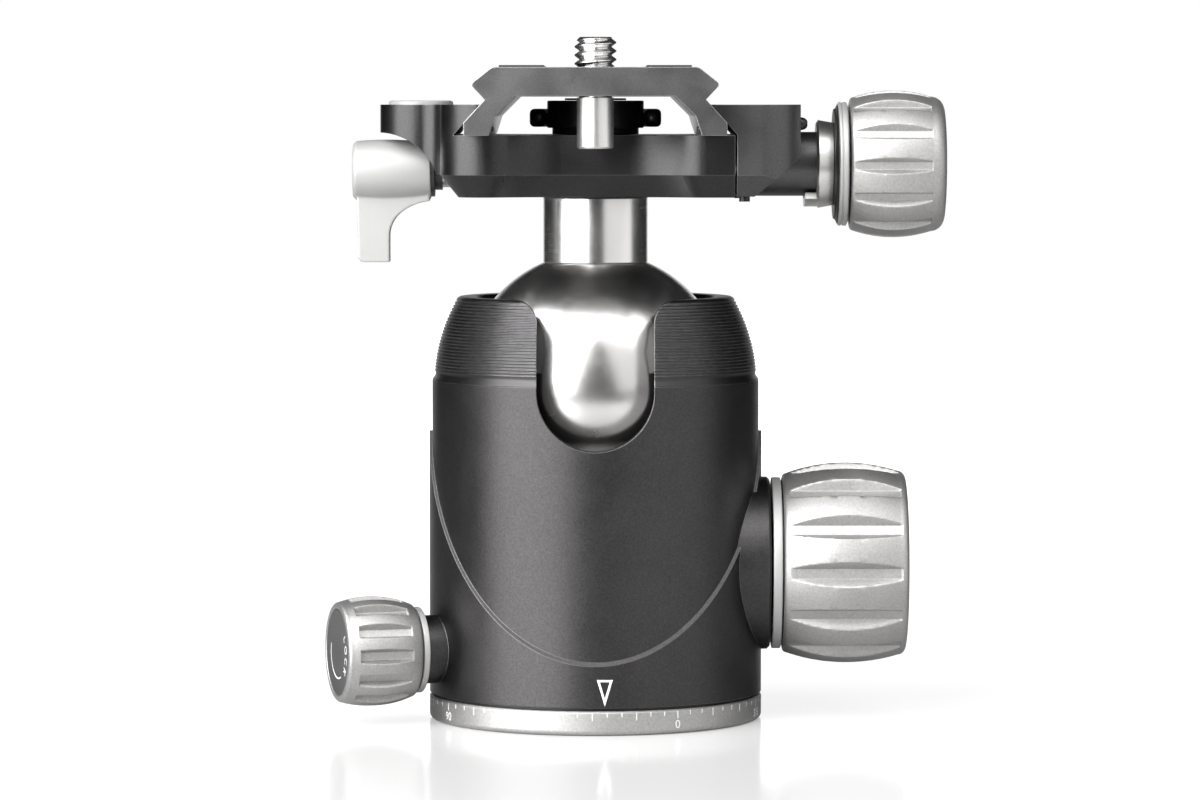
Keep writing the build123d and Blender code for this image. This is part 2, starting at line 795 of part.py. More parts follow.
with BuildPart() as ball:
    with Locations((0, 0, ball_z)):
        Sphere(ball_r)
    split(bisect_by=Plane.XY.offset(neck_z0), keep=Keep.BOTTOM)
    with BuildSketch(Plane.XY.offset(neck_z0 - bolt_depth - FREE)):
        Circle(bolt_r + FIT)
    extrude(amount=bolt_depth + FREE, mode=Mode.SUBTRACT)

with BuildPart() as neck:
    with BuildSketch(Plane.XZ):
        with BuildLine():
            Polyline(
                (bolt_r + FIT, neck_z0), (neck_r - neck_edge, neck_z0), (neck_r, neck_z0 + neck_edge),
                (neck_r, neck_z1 - neck_edge), (neck_r - neck_edge, neck_z1), (bolt_r + FIT, neck_z1), close=True,
            )
        make_face()
    revolve(axis=Axis.Z)

with BuildPart() as pan_disc:
    with BuildSketch(Plane.XZ):
        with BuildLine():
            Polyline(
                (bolt_r + FIT, neck_z1), (disc_r, neck_z1), (disc_r, lever_z - disc_groove_depth),
                (disc_r - disc_groove_depth, lever_z), (disc_r, lever_z + disc_groove_depth),
                (disc_r, disc_top), (bolt_r + FIT, disc_top), close=True,
            )
        make_face()
    revolve(axis=Axis.Z)

web_top = disc_top + RUN + clamp_web_t
with BuildPart() as neck_bolt:
    with BuildSketch(Plane.XY.offset(neck_z0 - bolt_depth)):
        Circle(bolt_r)
    extrude(amount=web_top + RUN - neck_z0 + bolt_depth)
    with BuildSketch(Plane.XY.offset(web_top + RUN)):
        Circle(bolt_head_r)
    extrude(amount=bolt_head_t)
    with BuildSketch(Plane.XY.offset(web_top + RUN + bolt_head_t - bolt_socket_depth)):
        RegularPolygon(bolt_socket_r, 6)
    extrude(amount=bolt_socket_depth, mode=Mode.SUBTRACT)

# ======== clamp ========

with BuildPart() as clamp_body:
    # plan outline: square ends with a shallow recess in the middle of the front and the back
    outline = [
        (clamp_left, -clamp_half), (-recess_mouth_half, -clamp_half), (-recess_half, -recess_wall_y),
        (recess_half, -recess_wall_y), (recess_mouth_half, -clamp_half), (clamp_right, -clamp_half),
    ]
    with BuildSketch(Plane.XY.offset(clamp_z0)) as plan:
        Polygon(*outline, *[(x, -y) for x, y in reversed(outline)], align=None)
        corners = plan.vertices().filter_by(lambda v: v.X < clamp_left + OVER)
        fillet(corners, clamp_corner_r)
        shoulders = plan.vertices().filter_by(lambda v: abs(abs(v.X) - recess_mouth_half) < FIT)
        fillet(shoulders, shoulder_r)
        roots = plan.vertices().filter_by(lambda v: abs(abs(v.X) - recess_half) < FIT)
        fillet(roots, recess_root_r)
    extrude(amount=jaw_top - clamp_z0)
    underside = clamp_body.faces().sort_by(Axis.Z)[0]
    rim = underside.edges().filter_by(lambda e: e.center().X < clamp_right - FIT)
    chamfer(rim, clamp_chamfer_in, clamp_chamfer_up, reference=underside)
    # ear that carries the level, hollowed from below round the lever
    with BuildSketch(Plane.XY.offset(ear_z0)) as ear:
        with Locations((ear_x, 0)):
            Circle(ear_r)
        with Locations(((ear_x + clamp_left) / 2, 0)):
            Rectangle(clamp_left - ear_x, 2 * ear_r)
        with Locations((clamp_left - ear_root_r / 2, 0)):
            Rectangle(ear_root_r, 2 * (ear_r + ear_root_r))
        with Locations((clamp_left - ear_root_r, ear_r + ear_root_r), (clamp_left - ear_root_r, -ear_r - ear_root_r)):
            Circle(ear_root_r, mode=Mode.SUBTRACT)
        with Locations((clamp_left + OVER / 2, 0)):
            Rectangle(OVER, 2 * (ear_r + ear_root_r))
    extrude(amount=jaw_top - ear_z0)
    with BuildSketch(Plane.XZ.offset(-clamp_half)):
        with Locations((ear_arc_x, ear_arc_z)):
            Circle(ear_arc_r)
    extrude(amount=2 * clamp_half, mode=Mode.SUBTRACT)
    with BuildSketch(cross_plane(LEVER_OUT, lever_z, -clamp_left)):
        Circle(hub_clearance_r)
    extrude(amount=lever_hub_end + clamp_left + OVER, mode=Mode.SUBTRACT)
    # dovetail channel
    with BuildSketch(Plane.XZ.offset(-clamp_half - OVER)):
        Polygon(
            (-lip_x(channel_z), channel_z), (-lip_x(jaw_top + OVER), jaw_top + OVER),
            (clamp_right + OVER, jaw_top + OVER), (clamp_right + OVER, channel_z), align=None,
        )
    extrude(amount=2 * (clamp_half + OVER), mode=Mode.SUBTRACT)
    lip = clamp_body.edges().filter_by(Axis.Y).filter_by(
        lambda e: abs(e.center().X + lip_x(jaw_top)) < FIT and abs(e.center().Z - jaw_top) < FIT
    )
    fillet(lip, lip_edge)
    # pan disc chamber, bolt hole and bolt head recess
    with BuildSketch(Plane.XY.offset(clamp_z0)):
        Circle(disc_r + RUN)
    extrude(amount=disc_top + RUN - clamp_z0, mode=Mode.SUBTRACT)
    with BuildSketch(Plane.XY.offset(disc_top)):
        Circle(bolt_r + RUN)
    extrude(amount=channel_z - disc_top, mode=Mode.SUBTRACT)
    with BuildSketch(Plane.XY.offset(web_top)):
        Circle(bolt_head_r + FREE)
    extrude(amount=channel_z - web_top, mode=Mode.SUBTRACT)
    # lever screw, clamp screw with its spring pocket, and guide pin bores
    with BuildSketch(cross_plane(LEVER_OUT, lever_z, disc_r - OVER)):
        Circle(lever_screw_r + RUN)
    extrude(amount=-clamp_left - disc_r + 3 * OVER, mode=Mode.SUBTRACT)
    with BuildSketch(cross_plane(X_OUT, jaw_screw_z, clamp_screw_x0 - FREE)):
        Circle(clamp_screw_r + RUN)
    extrude(amount=clamp_right - clamp_screw_x0 + OVER, mode=Mode.SUBTRACT)
    with BuildSketch(cross_plane(X_OUT, jaw_screw_z, spring_x0 - FIT)):
        Circle(spring_r + spring_wire_r + RUN)
    extrude(amount=clamp_right - spring_x0 + OVER, mode=Mode.SUBTRACT)
    with BuildSketch(cross_plane(X_OUT, jaw_screw_z, guide_x0 - FREE)):
        with Locations((0, guide_y), (0, -guide_y)):
            Circle(guide_r + RUN)
    extrude(amount=clamp_right - guide_x0 + OVER, mode=Mode.SUBTRACT)
    # recess for the level
    with BuildSketch(Plane.XY.offset(level_floor_z)):
        with Locations((ear_x, 0)):
            Circle(level_r + FIT)
    extrude(amount=jaw_top - level_floor_z, mode=Mode.SUBTRACT)

with BuildPart() as level_bezel:
    with BuildSketch(Plane.XZ.offset(0)):
        with BuildLine():
            Polyline(
                (ear_x, level_floor_z), (ear_x + level_r, level_floor_z),
                (ear_x + level_r, level_lens_top - level_wall / 2), (ear_x + level_r - level_wall / 2, level_lens_top),
                (ear_x + level_r - level_wall, level_lens_top),
                (ear_x + level_r - level_wall, level_floor_z + level_floor_t),
                (ear_x, level_floor_z + level_floor_t), close=True,
            )
        make_face()
    revolve(axis=Axis((ear_x, 0, 0), (0, 0, 1)))

vial_r = level_r - level_wall - FIT
bubble_z = level_fluid_top - level_bubble_t
with BuildPart() as level_fluid:
    with BuildSketch(Plane.XY.offset(level_floor_z + level_floor_t)):
        with Locations((ear_x, 0)):
            Circle(vial_r)
    extrude(amount=level_fluid_top - level_floor_z - level_floor_t)
    with BuildSketch(Plane.XY.offset(bubble_z)):
        with Locations((ear_x, 0)):
            Circle(level_bubble_r + FIT)
    extrude(amount=level_bubble_t, mode=Mode.SUBTRACT)

with BuildPart() as level_bubble:
    with BuildSketch(Plane.XY.offset(bubble_z + FIT)):
        with Locations((ear_x, 0)):
            Circle(level_bubble_r)
    extrude(amount=level_bubble_t - FIT)

with BuildPart() as level_lens:
    with BuildSketch(Plane.XY.offset(level_fluid_top)):
        with Locations((ear_x, 0)):
            Circle(vial_r)
    extrude(amount=level_lens_top - FIT - level_fluid_top)

with BuildPart() as jaw_spring:
    with BuildLine() as coil:
        Helix(
            spring_pitch, spring_x1 - spring_x0 - 2 * spring_wire_r, spring_r,
            center=(spring_x0 + spring_wire_r, 0, jaw_screw_z), direction=(1, 0, 0),
        )
    with BuildSketch(Plane(origin=coil.line @ 0, z_dir=coil.line % 0)):
        Rectangle(2 * spring_wire_r, 2 * spring_wire_r)
    sweep(is_frenet=True)

# ======== clamp brake and lever ========

with BuildPart() as clamp_shoe:
    shoe_tip = disc_r - disc_groove_depth + 2 * RUN
    with BuildSketch(axial_plane(LEVER_OUT, lever_z)):
        with BuildLine():
            Polyline(
                (shoe_tip, 0), (shoe_tip, RUN), (disc_r, RUN + disc_r - shoe_tip), (clamp_shoe_face, lever_screw_r - OVER),
                (clamp_shoe_face + OVER, lever_screw_r), (clamp_shoe_end, lever_screw_r), (clamp_shoe_end, 0),
                close=True,
            )
        make_face()
    revolve(axis=turning_axis(LEVER_OUT, lever_z))

lever_screw = turned_pin(LEVER_OUT, lever_z, lever_screw_r, clamp_shoe_end, lever_screw_end, lock_boss_edge)

with BuildPart() as lever:
    with BuildSketch(axial_plane(LEVER_OUT, lever_z)):
        with BuildLine():
            Polyline((lever_hub_start, 0), (lever_hub_start, lever_hub_r0))
            ThreePointArc(
                (lever_hub_start, lever_hub_r0), (lever_hub_crown, lever_hub_r),
                (lever_hub_end - lever_hub_edge, lever_hub_r1),
            )
            Polyline(
                (lever_hub_end - lever_hub_edge, lever_hub_r1), (lever_hub_end, lever_hub_r1 - lever_hub_edge),
                (lever_hub_end, 0), (lever_hub_start, 0),
            )
        make_face()
    revolve(axis=turning_axis(LEVER_OUT, lever_z))
    # blade: hangs from the hub's outer half, its inner edge swept up into the hub
    with BuildSketch(Plane.XZ.offset(-blade_half_t)):
        with BuildLine():
            Polyline(
                (-lever_hub_end + lever_hub_edge, lever_z), (-blade_out_x, blade_neck_z),
                (-blade_out_x, blade_tip_z + blade_tip_r),
            )
            RadiusArc((-blade_out_x, blade_tip_z + blade_tip_r), (-blade_out_x + blade_tip_r, blade_tip_z), -blade_tip_r)
            Line((-blade_out_x + blade_tip_r, blade_tip_z), (-blade_in_x, blade_tip_z))
            Line((-blade_in_x, blade_tip_z), (-blade_in_x, blade_neck_z))
            sweep_in = TangentArc((-blade_in_x, blade_neck_z), (-blade_sweep_x, blade_sweep_z), tangent=(0, 1))
            TangentArc((-blade_sweep_x, blade_sweep_z), (-blade_root_x, blade_root_z), tangent=sweep_in % 1)
            Polyline(
                (-blade_root_x, blade_root_z), (-blade_root_x, lever_z), (-lever_hub_end + lever_hub_edge, lever_z),
            )
        make_face()
    extrude(amount=2 * blade_half_t)
    with BuildSketch(cross_plane(LEVER_OUT, lever_z, lever_hub_start - OVER)):
        Circle(lever_screw_r + FIT)
    extrude(amount=lever_screw_end - lever_hub_start + OVER, mode=Mode.SUBTRACT)

with BuildPart() as lever_washer:
    with BuildSketch(cross_plane(LEVER_OUT, lever_z, -clamp_left + RUN)):
        Circle(lever_spacer_r)
        Circle(lever_screw_r + FIT, mode=Mode.SUBTRACT)
    extrude(amount=lever_washer_start + clamp_left - RUN)
    with BuildSketch(cross_plane(LEVER_OUT, lever_z, lever_washer_start)):
        Circle(lever_washer_r)
        Circle(lever_screw_r + FIT, mode=Mode.SUBTRACT)
    extrude(amount=lever_hub_start - lever_washer_start)

# ======== moving jaw ========

with BuildPart() as moving_jaw:
    lip_tip_x = lip_x(jaw_top)
    jaw_foot_z = jaw_top - (jaw_left - lip_tip_x) / flank_lean
    with BuildSketch(Plane.XZ.offset(-clamp_half)) as jaw_section:
        Polygon(
            (lip_tip_x, jaw_top), (jaw_left, jaw_foot_z), (jaw_left, jaw_bottom), (jaw_slope_x, jaw_bottom),
            (jaw_right, jaw_slope_z), (jaw_right, jaw_top), align=None,
        )
        fillet(jaw_section.vertices().sort_by(Axis.X)[0], lip_edge)
    extrude(amount=2 * clamp_half)
    with BuildSketch(Plane.XY.offset(jaw_bottom)) as jaw_plan:
        with Locations(((lip_tip_x + jaw_right) / 2, 0)):
            Rectangle(jaw_right - lip_tip_x, 2 * clamp_half)
        fillet(jaw_plan.vertices().filter_by(lambda v: v.X > jaw_right - OVER), jaw_corner_r)
    extrude(amount=jaw_top - jaw_bottom, mode=Mode.INTERSECT)
    bevel_rise = clamp_chamfer_up / clamp_chamfer_in
    bevel_y = clamp_half - clamp_chamfer_in
    with BuildSketch(Plane.YZ.offset(jaw_left - OVER)):
        for side in (1, -1):
            Polygon(
                (side * bevel_y, clamp_z0), (side * (clamp_half + OVER), clamp_z0),
                (side * (clamp_half + OVER), clamp_z0 + clamp_chamfer_up + bevel_rise * OVER), align=None,
            )
    extrude(amount=jaw_right - jaw_left + 2 * OVER, mode=Mode.SUBTRACT)
    with BuildSketch(cross_plane(X_OUT, jaw_screw_z, jaw_boss_x0)):
        Circle(jaw_boss_r)
    extrude(amount=jaw_boss_x1 - jaw_boss_x0)
    with BuildSketch(cross_plane(X_OUT, jaw_screw_z, jaw_left - OVER)):
        Circle(clamp_screw_r + RUN)
    extrude(amount=jaw_boss_x1 - jaw_left + 2 * OVER, mode=Mode.SUBTRACT)
    with BuildSketch(cross_plane(X_OUT, jaw_screw_z, jaw_left - OVER)):
        with Locations((0, guide_y), (0, -guide_y)):
            Circle(guide_r + FIT)
    extrude(amount=guide_x1 + FREE - jaw_left + OVER, mode=Mode.SUBTRACT)
    with BuildSketch(Plane.XY.offset(set_screw_z0)):
        with Locations((set_screw_x, guide_y), (set_screw_x, -guide_y)):
            Circle(set_screw_r + FIT)
    extrude(amount=jaw_screw_z - set_screw_z0, mode=Mode.SUBTRACT)
    with BuildSketch(cross_plane(X_OUT, cover_screw_z, jaw_right - cover_screw_depth)):
        with Locations((0, cover_screw_y), (0, -cover_screw_y)):
            Circle(cover_screw_r + FIT)
    extrude(amount=cover_screw_depth, mode=Mode.SUBTRACT)

with BuildPart() as guide_pins:
    with BuildSketch(cross_plane(X_OUT, jaw_screw_z, guide_x0)):
        with Locations((0, guide_y), (0, -guide_y)):
            Circle(guide_r)
    extrude(amount=guide_x1 - guide_x0)

with BuildPart() as jaw_set_screws:
    with BuildSketch(Plane.XY.offset(set_screw_z0)):
        with Locations((set_screw_x, guide_y), (set_screw_x, -guide_y)):
            Circle(set_screw_r)
    extrude(amount=set_screw_z1 - set_screw_z0)

with BuildPart() as jaw_cover_screws:
    with BuildSketch(cross_plane(X_OUT, cover_screw_z, jaw_right)):
        with Locations((0, cover_screw_y), (0, -cover_screw_y)):
            Circle(cover_screw_head_r)
    extrude(amount=cover_screw_head_t)
    fillet(jaw_cover_screws.faces().group_by(Axis.X)[-1].edges(), cover_screw_dome)
    with BuildSketch(cross_plane(X_OUT, cover_screw_z, jaw_right - cover_screw_depth + FREE)):
        with Locations((0, cover_screw_y), (0, -cover_screw_y)):
            Circle(cover_screw_r)
    extrude(amount=cover_screw_depth - FREE)

with BuildPart() as knob_flange:
    with BuildSketch(axial_plane(X_OUT, jaw_screw_z)):
        with BuildLine():
            Polyline(
                (jaw_boss_x1, clamp_screw_r + RUN), (jaw_boss_x1, flange_r0), (jaw_boss_x1 + FREE, flange_r1),
                (flange_x1, flange_r0), (flange_x1, clamp_screw_r + RUN), close=True,
            )
        make_face()
    revolve(axis=turning_axis(X_OUT, jaw_screw_z))
    # finger tab under the boss
    with BuildSketch(cross_plane(X_OUT, jaw_screw_z, flange_tab_x0)):
        with BuildLine():
            first = CenterArc((0, 0), flange_tab_r, 180 - flange_tab_angle, 2 * flange_tab_angle)
            second = CenterArc((0, 0), flange_tab_r - flange_tab_t, 180 - flange_tab_angle, 2 * flange_tab_angle)
            Line(first @ 0, second @ 0)
            Line(first @ 1, second @ 1)
        make_face()
    extrude(amount=jaw_boss_x1 + FREE - flange_tab_x0)

# ======== clamp knob ========

clamp_screw = turned_pin(
    X_OUT, jaw_screw_z, clamp_screw_r, clamp_screw_x0, clamp_screw_x1, lock_boss_edge, clamp_bolt_r + FIT,
    clamp_bolt_len,
)

with BuildPart() as clamp_knob_ring:
    with BuildSketch(axial_plane(X_OUT, jaw_screw_z)):
        with BuildLine():
            Polyline(
                (clamp_ring_x0, clamp_screw_r + FIT), (clamp_ring_x0, clamp_ring_r0 - OVER),
                (clamp_ring_x0 + FREE, clamp_ring_r0),
            )
            ThreePointArc(
                (clamp_ring_x0 + FREE, clamp_ring_r0), (clamp_ring_x1 - OVER, clamp_ring_r),
                (clamp_ring_x1, clamp_ring_r - FREE),
            )
            Polyline(
                (clamp_ring_x1, clamp_ring_r - FREE), (clamp_ring_x1, clamp_screw_r + FIT),
                (clamp_ring_x0, clamp_screw_r + FIT),
            )
        make_face()
    revolve(axis=turning_axis(X_OUT, jaw_screw_z))

clamp_knob = fluted_grip(
    X_OUT, jaw_screw_z,
    (clamp_knob_x0, clamp_knob_x1, clamp_knob_r0, clamp_knob_r, clamp_knob_r1, clamp_knob_crown_x, clamp_knob_edge),
    (clamp_flutes, clamp_flute_floor_r, clamp_flute_floor_w, clamp_flute_top_w, clamp_flute_x0, clamp_flute_x1),
    clamp_screw_r + FIT, clamp_screw_x1, clamp_cap_r, clamp_cap_t,
    (clamp_bolt_r, clamp_bolt_head_r, clamp_bolt_grip),
)
clamp_knob_bolt = end_bolt(
    X_OUT, jaw_screw_z, clamp_bolt_r, clamp_bolt_head_r, clamp_bolt_head_t, clamp_screw_x1 + clamp_bolt_grip,
    clamp_bolt_len,
)
clamp_knob_cap = turned_ring(X_OUT, jaw_screw_z, clamp_cap_r, 0, clamp_knob_x1 - clamp_cap_t, clamp_knob_x1 - RUN)

# ======== quick plate ========

with BuildPart() as plate:
    half = [
        (plate_web_x, plate_web_h), (plate_knee_x, plate_knee_h), (plate_leg_x, 0), (plate_half_w, 0),
        (plate_half_w, plate_foot_h), (plate_waist_x, plate_waist_h), (plate_ear_x, plate_ear_h),
        (plate_top_x, plate_h),
    ]
    section = [(x, plate_z0 + h) for x, h in half]
    with BuildSketch(Plane.XZ.offset(-plate_half_len)) as profile:
        Polygon(*section, *[(-x, z) for x, z in reversed(section)], align=None)
        ears = profile.vertices().filter_by(lambda v: abs(abs(v.X) - plate_ear_x) < FIT)
        fillet(ears, plate_ear_r)
        crown = profile.vertices().filter_by(lambda v: abs(abs(v.X) - plate_top_x) < FIT)
        fillet(crown, plate_top_edge)
    extrude(amount=2 * plate_half_len)
    with BuildSketch(Plane.XY.offset(plate_z1 - pad_depth)):
        with Locations(((pad_x0 + pad_x1) / 2, 0), (-(pad_x0 + pad_x1) / 2, 0)):
            Rectangle(pad_x1 - pad_x0 + 2 * FIT, 2 * (pad_half_len + FIT))
    extrude(amount=pad_depth, mode=Mode.SUBTRACT)
    with BuildSketch(Plane.XY.offset(plate_z0)):
        Circle(camera_thread_r + RUN)
    extrude(amount=plate_h, mode=Mode.SUBTRACT)
    with BuildSketch(Plane.XY.offset(plate_z0 + plate_web_h)):
        with Locations((0, stop_pin_y), (0, -stop_pin_y)):
            Circle(stop_pin_stem_r + FIT)
    extrude(amount=stop_pin_stem_len, mode=Mode.SUBTRACT)

with BuildPart() as plate_pads:
    with BuildSketch(Plane.XY.offset(plate_z1 - pad_depth)):
        with Locations(((pad_x0 + pad_x1) / 2, 0), (-(pad_x0 + pad_x1) / 2, 0)):
            Rectangle(pad_x1 - pad_x0, 2 * pad_half_len)
    extrude(amount=pad_depth + pad_proud)

with BuildPart() as stop_pins:
    with BuildSketch(Plane.XY.offset(stop_pin_z0)):
        with Locations((0, stop_pin_y), (0, -stop_pin_y)):
            Circle(stop_pin_r)
    extrude(amount=plate_z0 + plate_web_h - stop_pin_z0)
    chamfer(stop_pins.faces().group_by(Axis.Z)[0].edges(), base_top_edge)
    with BuildSketch(Plane.XY.offset(plate_z0 + plate_web_h)):
        with Locations((0, stop_pin_y), (0, -stop_pin_y)):
            Circle(stop_pin_stem_r)
    extrude(amount=stop_pin_stem_len - FIT)

# ======== camera screw ========

with BuildPart() as camera_screw:
    head_z0 = screw_foot_z + screw_foot_t
    with BuildSketch(Plane.XY.offset(screw_foot_z)):
        Circle(screw_foot_r)
    extrude(amount=screw_foot_t)
    with BuildSketch(Plane.XY.offset(head_z0)):
        Circle(screw_head_r)
    extrude(amount=screw_head_top - head_z0)
    with BuildSketch(Plane.XY.offset(screw_head_top)):
        Circle(camera_neck_r)
    extrude(amount=plate_z1 + SEAT - screw_head_top)
    with BuildSketch(Plane.XY.offset(plate_z1 + SEAT)):
        Circle(camera_thread_r)
    extrude(amount=camera_thread_proud - SEAT)
    chamfer(camera_screw.faces().sort_by(Axis.Z)[-1].edges(), base_edge)
    with BuildSketch(cross_plane(X_OUT, (ring_z0 + ring_z1) / 2, -screw_head_r)):
        Circle(ring_pivot_r + RUN)
    extrude(amount=ring_pivot_depth, mode=Mode.SUBTRACT)
    with BuildSketch(cross_plane(LEVER_OUT, (ring_z0 + ring_z1) / 2, -screw_head_r)):
        Circle(ring_pivot_r + RUN)
    extrude(amount=ring_pivot_depth, mode=Mode.SUBTRACT)

with BuildPart() as d_ring:
    with BuildSketch(Plane.XY.offset(ring_z0)):
        Circle(ring_r)
        Circle(screw_head_r + ring_gap, mode=Mode.SUBTRACT)
        with Locations((0, ring_front - ring_r)):
            Rectangle(2 * ring_r, 2 * ring_r, mode=Mode.SUBTRACT)
    extrude(amount=ring_z1 - ring_z0)
    for outward in (X_OUT, LEVER_OUT):
        with BuildSketch(cross_plane(outward, (ring_z0 + ring_z1) / 2, screw_head_r - ring_pivot_depth + RUN)):
            Circle(ring_pivot_r)
        extrude(amount=ring_pivot_depth + OVER)

with BuildPart() as screw_clip:
    with BuildSketch(Plane.XY.offset(screw_head_top + RUN)):
        Circle(clip_r)
        Circle(camera_neck_r + FIT, mode=Mode.SUBTRACT)
    extrude(amount=clip_t)

save(base_ring, "base_ring")
save(tripod_bush, "tripod_bush")
save(pan_hub, "pan_hub")
save(hub_screws, "hub_screws")
save(slip_washer, "slip_washer")
save(housing, "housing")
save(lock_bush, "lock_bush")
save(retaining_screws, "retaining_screws")
save(collar, "collar")
save(upper_seat, "upper_seat")
save(ball_cup, "ball_cup")
save(lift_plunger, "lift_plunger")
save(lock_wedge, "lock_wedge")
save(lock_screw, "lock_screw")
save(lock_knob_ring, "lock_knob_ring")
save(lock_knob, "lock_knob")
save(lock_knob_bolt, "lock_knob_bolt")
save(lock_knob_cap, "lock_knob_cap")
save(pan_shoe, "pan_shoe")
save(pan_screw, "pan_screw")
save(pan_knob_ring, "pan_knob_ring")
save(pan_knob, "pan_knob")
save(pan_knob_cap, "pan_knob_cap")
save(ball, "ball")
save(neck, "neck")
save(pan_disc, "pan_disc")
save(neck_bolt, "neck_bolt")
save(clamp_body, "clamp_body")
save(level_bezel, "level_bezel")
save(level_fluid, "level_fluid")
save(level_bubble, "level_bubble")
save(level_lens, "level_lens")
save(jaw_spring, "jaw_spring")
save(clamp_shoe, "clamp_shoe")
save(lever_screw, "lever_screw")
save(lever, "lever")
save(lever_washer, "lever_washer")
save(moving_jaw, "moving_jaw")
save(guide_pins, "guide_pins")
save(jaw_set_screws, "jaw_set_screws")
save(jaw_cover_screws, "jaw_cover_screws")
save(knob_flange, "knob_flange")
save(clamp_screw, "clamp_screw")
save(clamp_knob_ring, "clamp_knob_ring")
save(clamp_knob, "clamp_knob")
save(clamp_knob_bolt, "clamp_knob_bolt")
save(clamp_knob_cap, "clamp_knob_cap")
save(plate, "plate")
save(plate_pads, "plate_pads")
save(stop_pins, "stop_pins")
save(camera_screw, "camera_screw")
save(d_ring, "d_ring")
save(screw_clip, "screw_clip")
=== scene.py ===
"""Looks of a tripod ball head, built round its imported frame.

The CAD nodes keep their places. Turned pieces, knobs, the lever, the thread, screw heads and painted marks are built
here with fine meshes, most of which stand for a node, and every surface gets a procedural finish.
"""

from __future__ import annotations

import json
import logging
from dataclasses import dataclass, field
from enum import Enum
from math import acos, asin, atan2, ceil, cos, degrees, hypot, pi, radians, sin, sqrt, tan
from typing import Iterable, Sequence

import bmesh
import bpy
from bpy.types import Material, Mesh, Node, NodeSocket as Socket, Object, World
from mathutils import Matrix, Vector

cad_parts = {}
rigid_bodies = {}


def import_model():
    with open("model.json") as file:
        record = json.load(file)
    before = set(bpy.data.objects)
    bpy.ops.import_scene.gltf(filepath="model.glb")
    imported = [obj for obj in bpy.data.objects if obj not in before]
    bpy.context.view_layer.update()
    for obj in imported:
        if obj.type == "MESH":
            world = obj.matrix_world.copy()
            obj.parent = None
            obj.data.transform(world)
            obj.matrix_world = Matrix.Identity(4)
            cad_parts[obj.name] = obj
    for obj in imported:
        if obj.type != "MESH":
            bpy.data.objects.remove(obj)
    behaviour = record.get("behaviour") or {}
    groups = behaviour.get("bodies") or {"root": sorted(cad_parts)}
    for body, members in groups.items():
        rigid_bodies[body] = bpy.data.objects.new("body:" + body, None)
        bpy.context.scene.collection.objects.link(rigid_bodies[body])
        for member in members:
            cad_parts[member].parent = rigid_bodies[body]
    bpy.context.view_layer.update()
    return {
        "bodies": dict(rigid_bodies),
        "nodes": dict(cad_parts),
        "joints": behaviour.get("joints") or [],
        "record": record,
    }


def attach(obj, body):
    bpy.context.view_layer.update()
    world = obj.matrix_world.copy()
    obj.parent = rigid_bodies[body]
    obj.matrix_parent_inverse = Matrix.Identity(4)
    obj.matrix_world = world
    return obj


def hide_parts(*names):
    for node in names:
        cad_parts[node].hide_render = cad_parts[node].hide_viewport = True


LOG = logging.getLogger("ball_head")
MM = 0.001
SHARP_EDGE = radians(32)
ON_AXIS = 1e-6  # Radius in millimetres under which a point of a profile lies on its axis.
NO_GROOVE = 1e9  # Radius that no grip reaches, for places without a groove.
CUT_WELD = 0.0004  # Points of a cut piece that are nearer than this become one, in millimetres.
NODE_WELD = 0.002  # The same for the points of a CAD node.
PAN_KNOB_TURN = radians(17.5)  # How far the pan knob's axis, which points to the left, turns to the front.
WHITE = (1.0, 1.0, 1.0)

Point2 = tuple[float, float]
Point3 = tuple[float, float, float]
Profile = tuple[Point2, ...]


# -------------------- Finishes --------------------


class Texture(Enum):
    """How a surface was worked, which sets the relief that its material carries."""

    BLASTED = "blasted"
    TURNED = "turned"
    MOULDED = "moulded"


@dataclass(frozen=True)
class Finish:
    """One finish of the head.

    Attributes:
        name: Name of the Blender material.
        color: Base colour in linear RGB.
        rough: Mean roughness.
        metallic: 1 for bare and anodised metal, 0 for plastic and rubber.
        texture: How the surface was worked.
        grain: Size of the relief in millimetres.
        relief: Height of the relief in millimetres.
        mottle: Share by which tone varies over the surface.
        edge: Radius of the softened edges in millimetres.
        wear: How much brighter worn edges are, from 0 to 1.
        worn_color: Colour of the metal that shows where an edge is worn.
        axis: Direction of the turned lines' axis.
    """

    name: str
    color: Point3
    rough: float
    metallic: float = 1.0
    texture: Texture = Texture.BLASTED
    grain: float = 0.12
    relief: float = 0.003
    mottle: float = 0.08
    edge: float = 0.18
    wear: float = 0.0
    worn_color: Point3 = (0.6, 0.6, 0.61)
    axis: Point3 = (0.0, 0.0, 1.0)


def turned(name: str, color: Point3, rough: float, **rest: object) -> Finish:
    """A finish of turned metal."""
    return Finish(name, color, rough, texture=Texture.TURNED, **rest)


def moulded(name: str, color: Point3, rough: float, **rest: object) -> Finish:
    """A finish of plastic, rubber or paint."""
    return Finish(name, color, rough, metallic=0.0, texture=Texture.MOULDED, **rest)


DARK = (0.064, 0.062, 0.063)
DARK_ANODISED = Finish("dark_anodised_satin", DARK, 0.39, grain=0.30, relief=0.014, mottle=0.12, wear=0.18)
DARK_TURNED = turned("dark_anodised_turned", DARK, 0.36, grain=0.10, relief=0.0012, wear=0.3)
BLACK_ANODISED = Finish("black_anodised_satin", (0.056, 0.055, 0.056), 0.35, grain=0.28, relief=0.011, wear=0.3)
# The jaw has the clamp body's black anodising; this lighter copy paints the light that the jaw's front face catches.
PAINTED_LIGHT_JAW_ANODISED = Finish("dark_anodised_jaw_painted_light", (0.105, 0.104, 0.106), 0.44, grain=0.28, relief=0.011, wear=0.3)
GREY_PLATE = Finish("grey_anodised_plate", (0.33, 0.33, 0.335), 0.30, grain=0.28, relief=0.014, wear=0.1)
CAP_GREY = Finish("grey_anodised_cap", (0.27, 0.27, 0.275), 0.45)
SILVER = Finish("silver_bead_blasted", (0.46, 0.455, 0.45), 0.53, grain=0.32, relief=0.022, mottle=0.09)
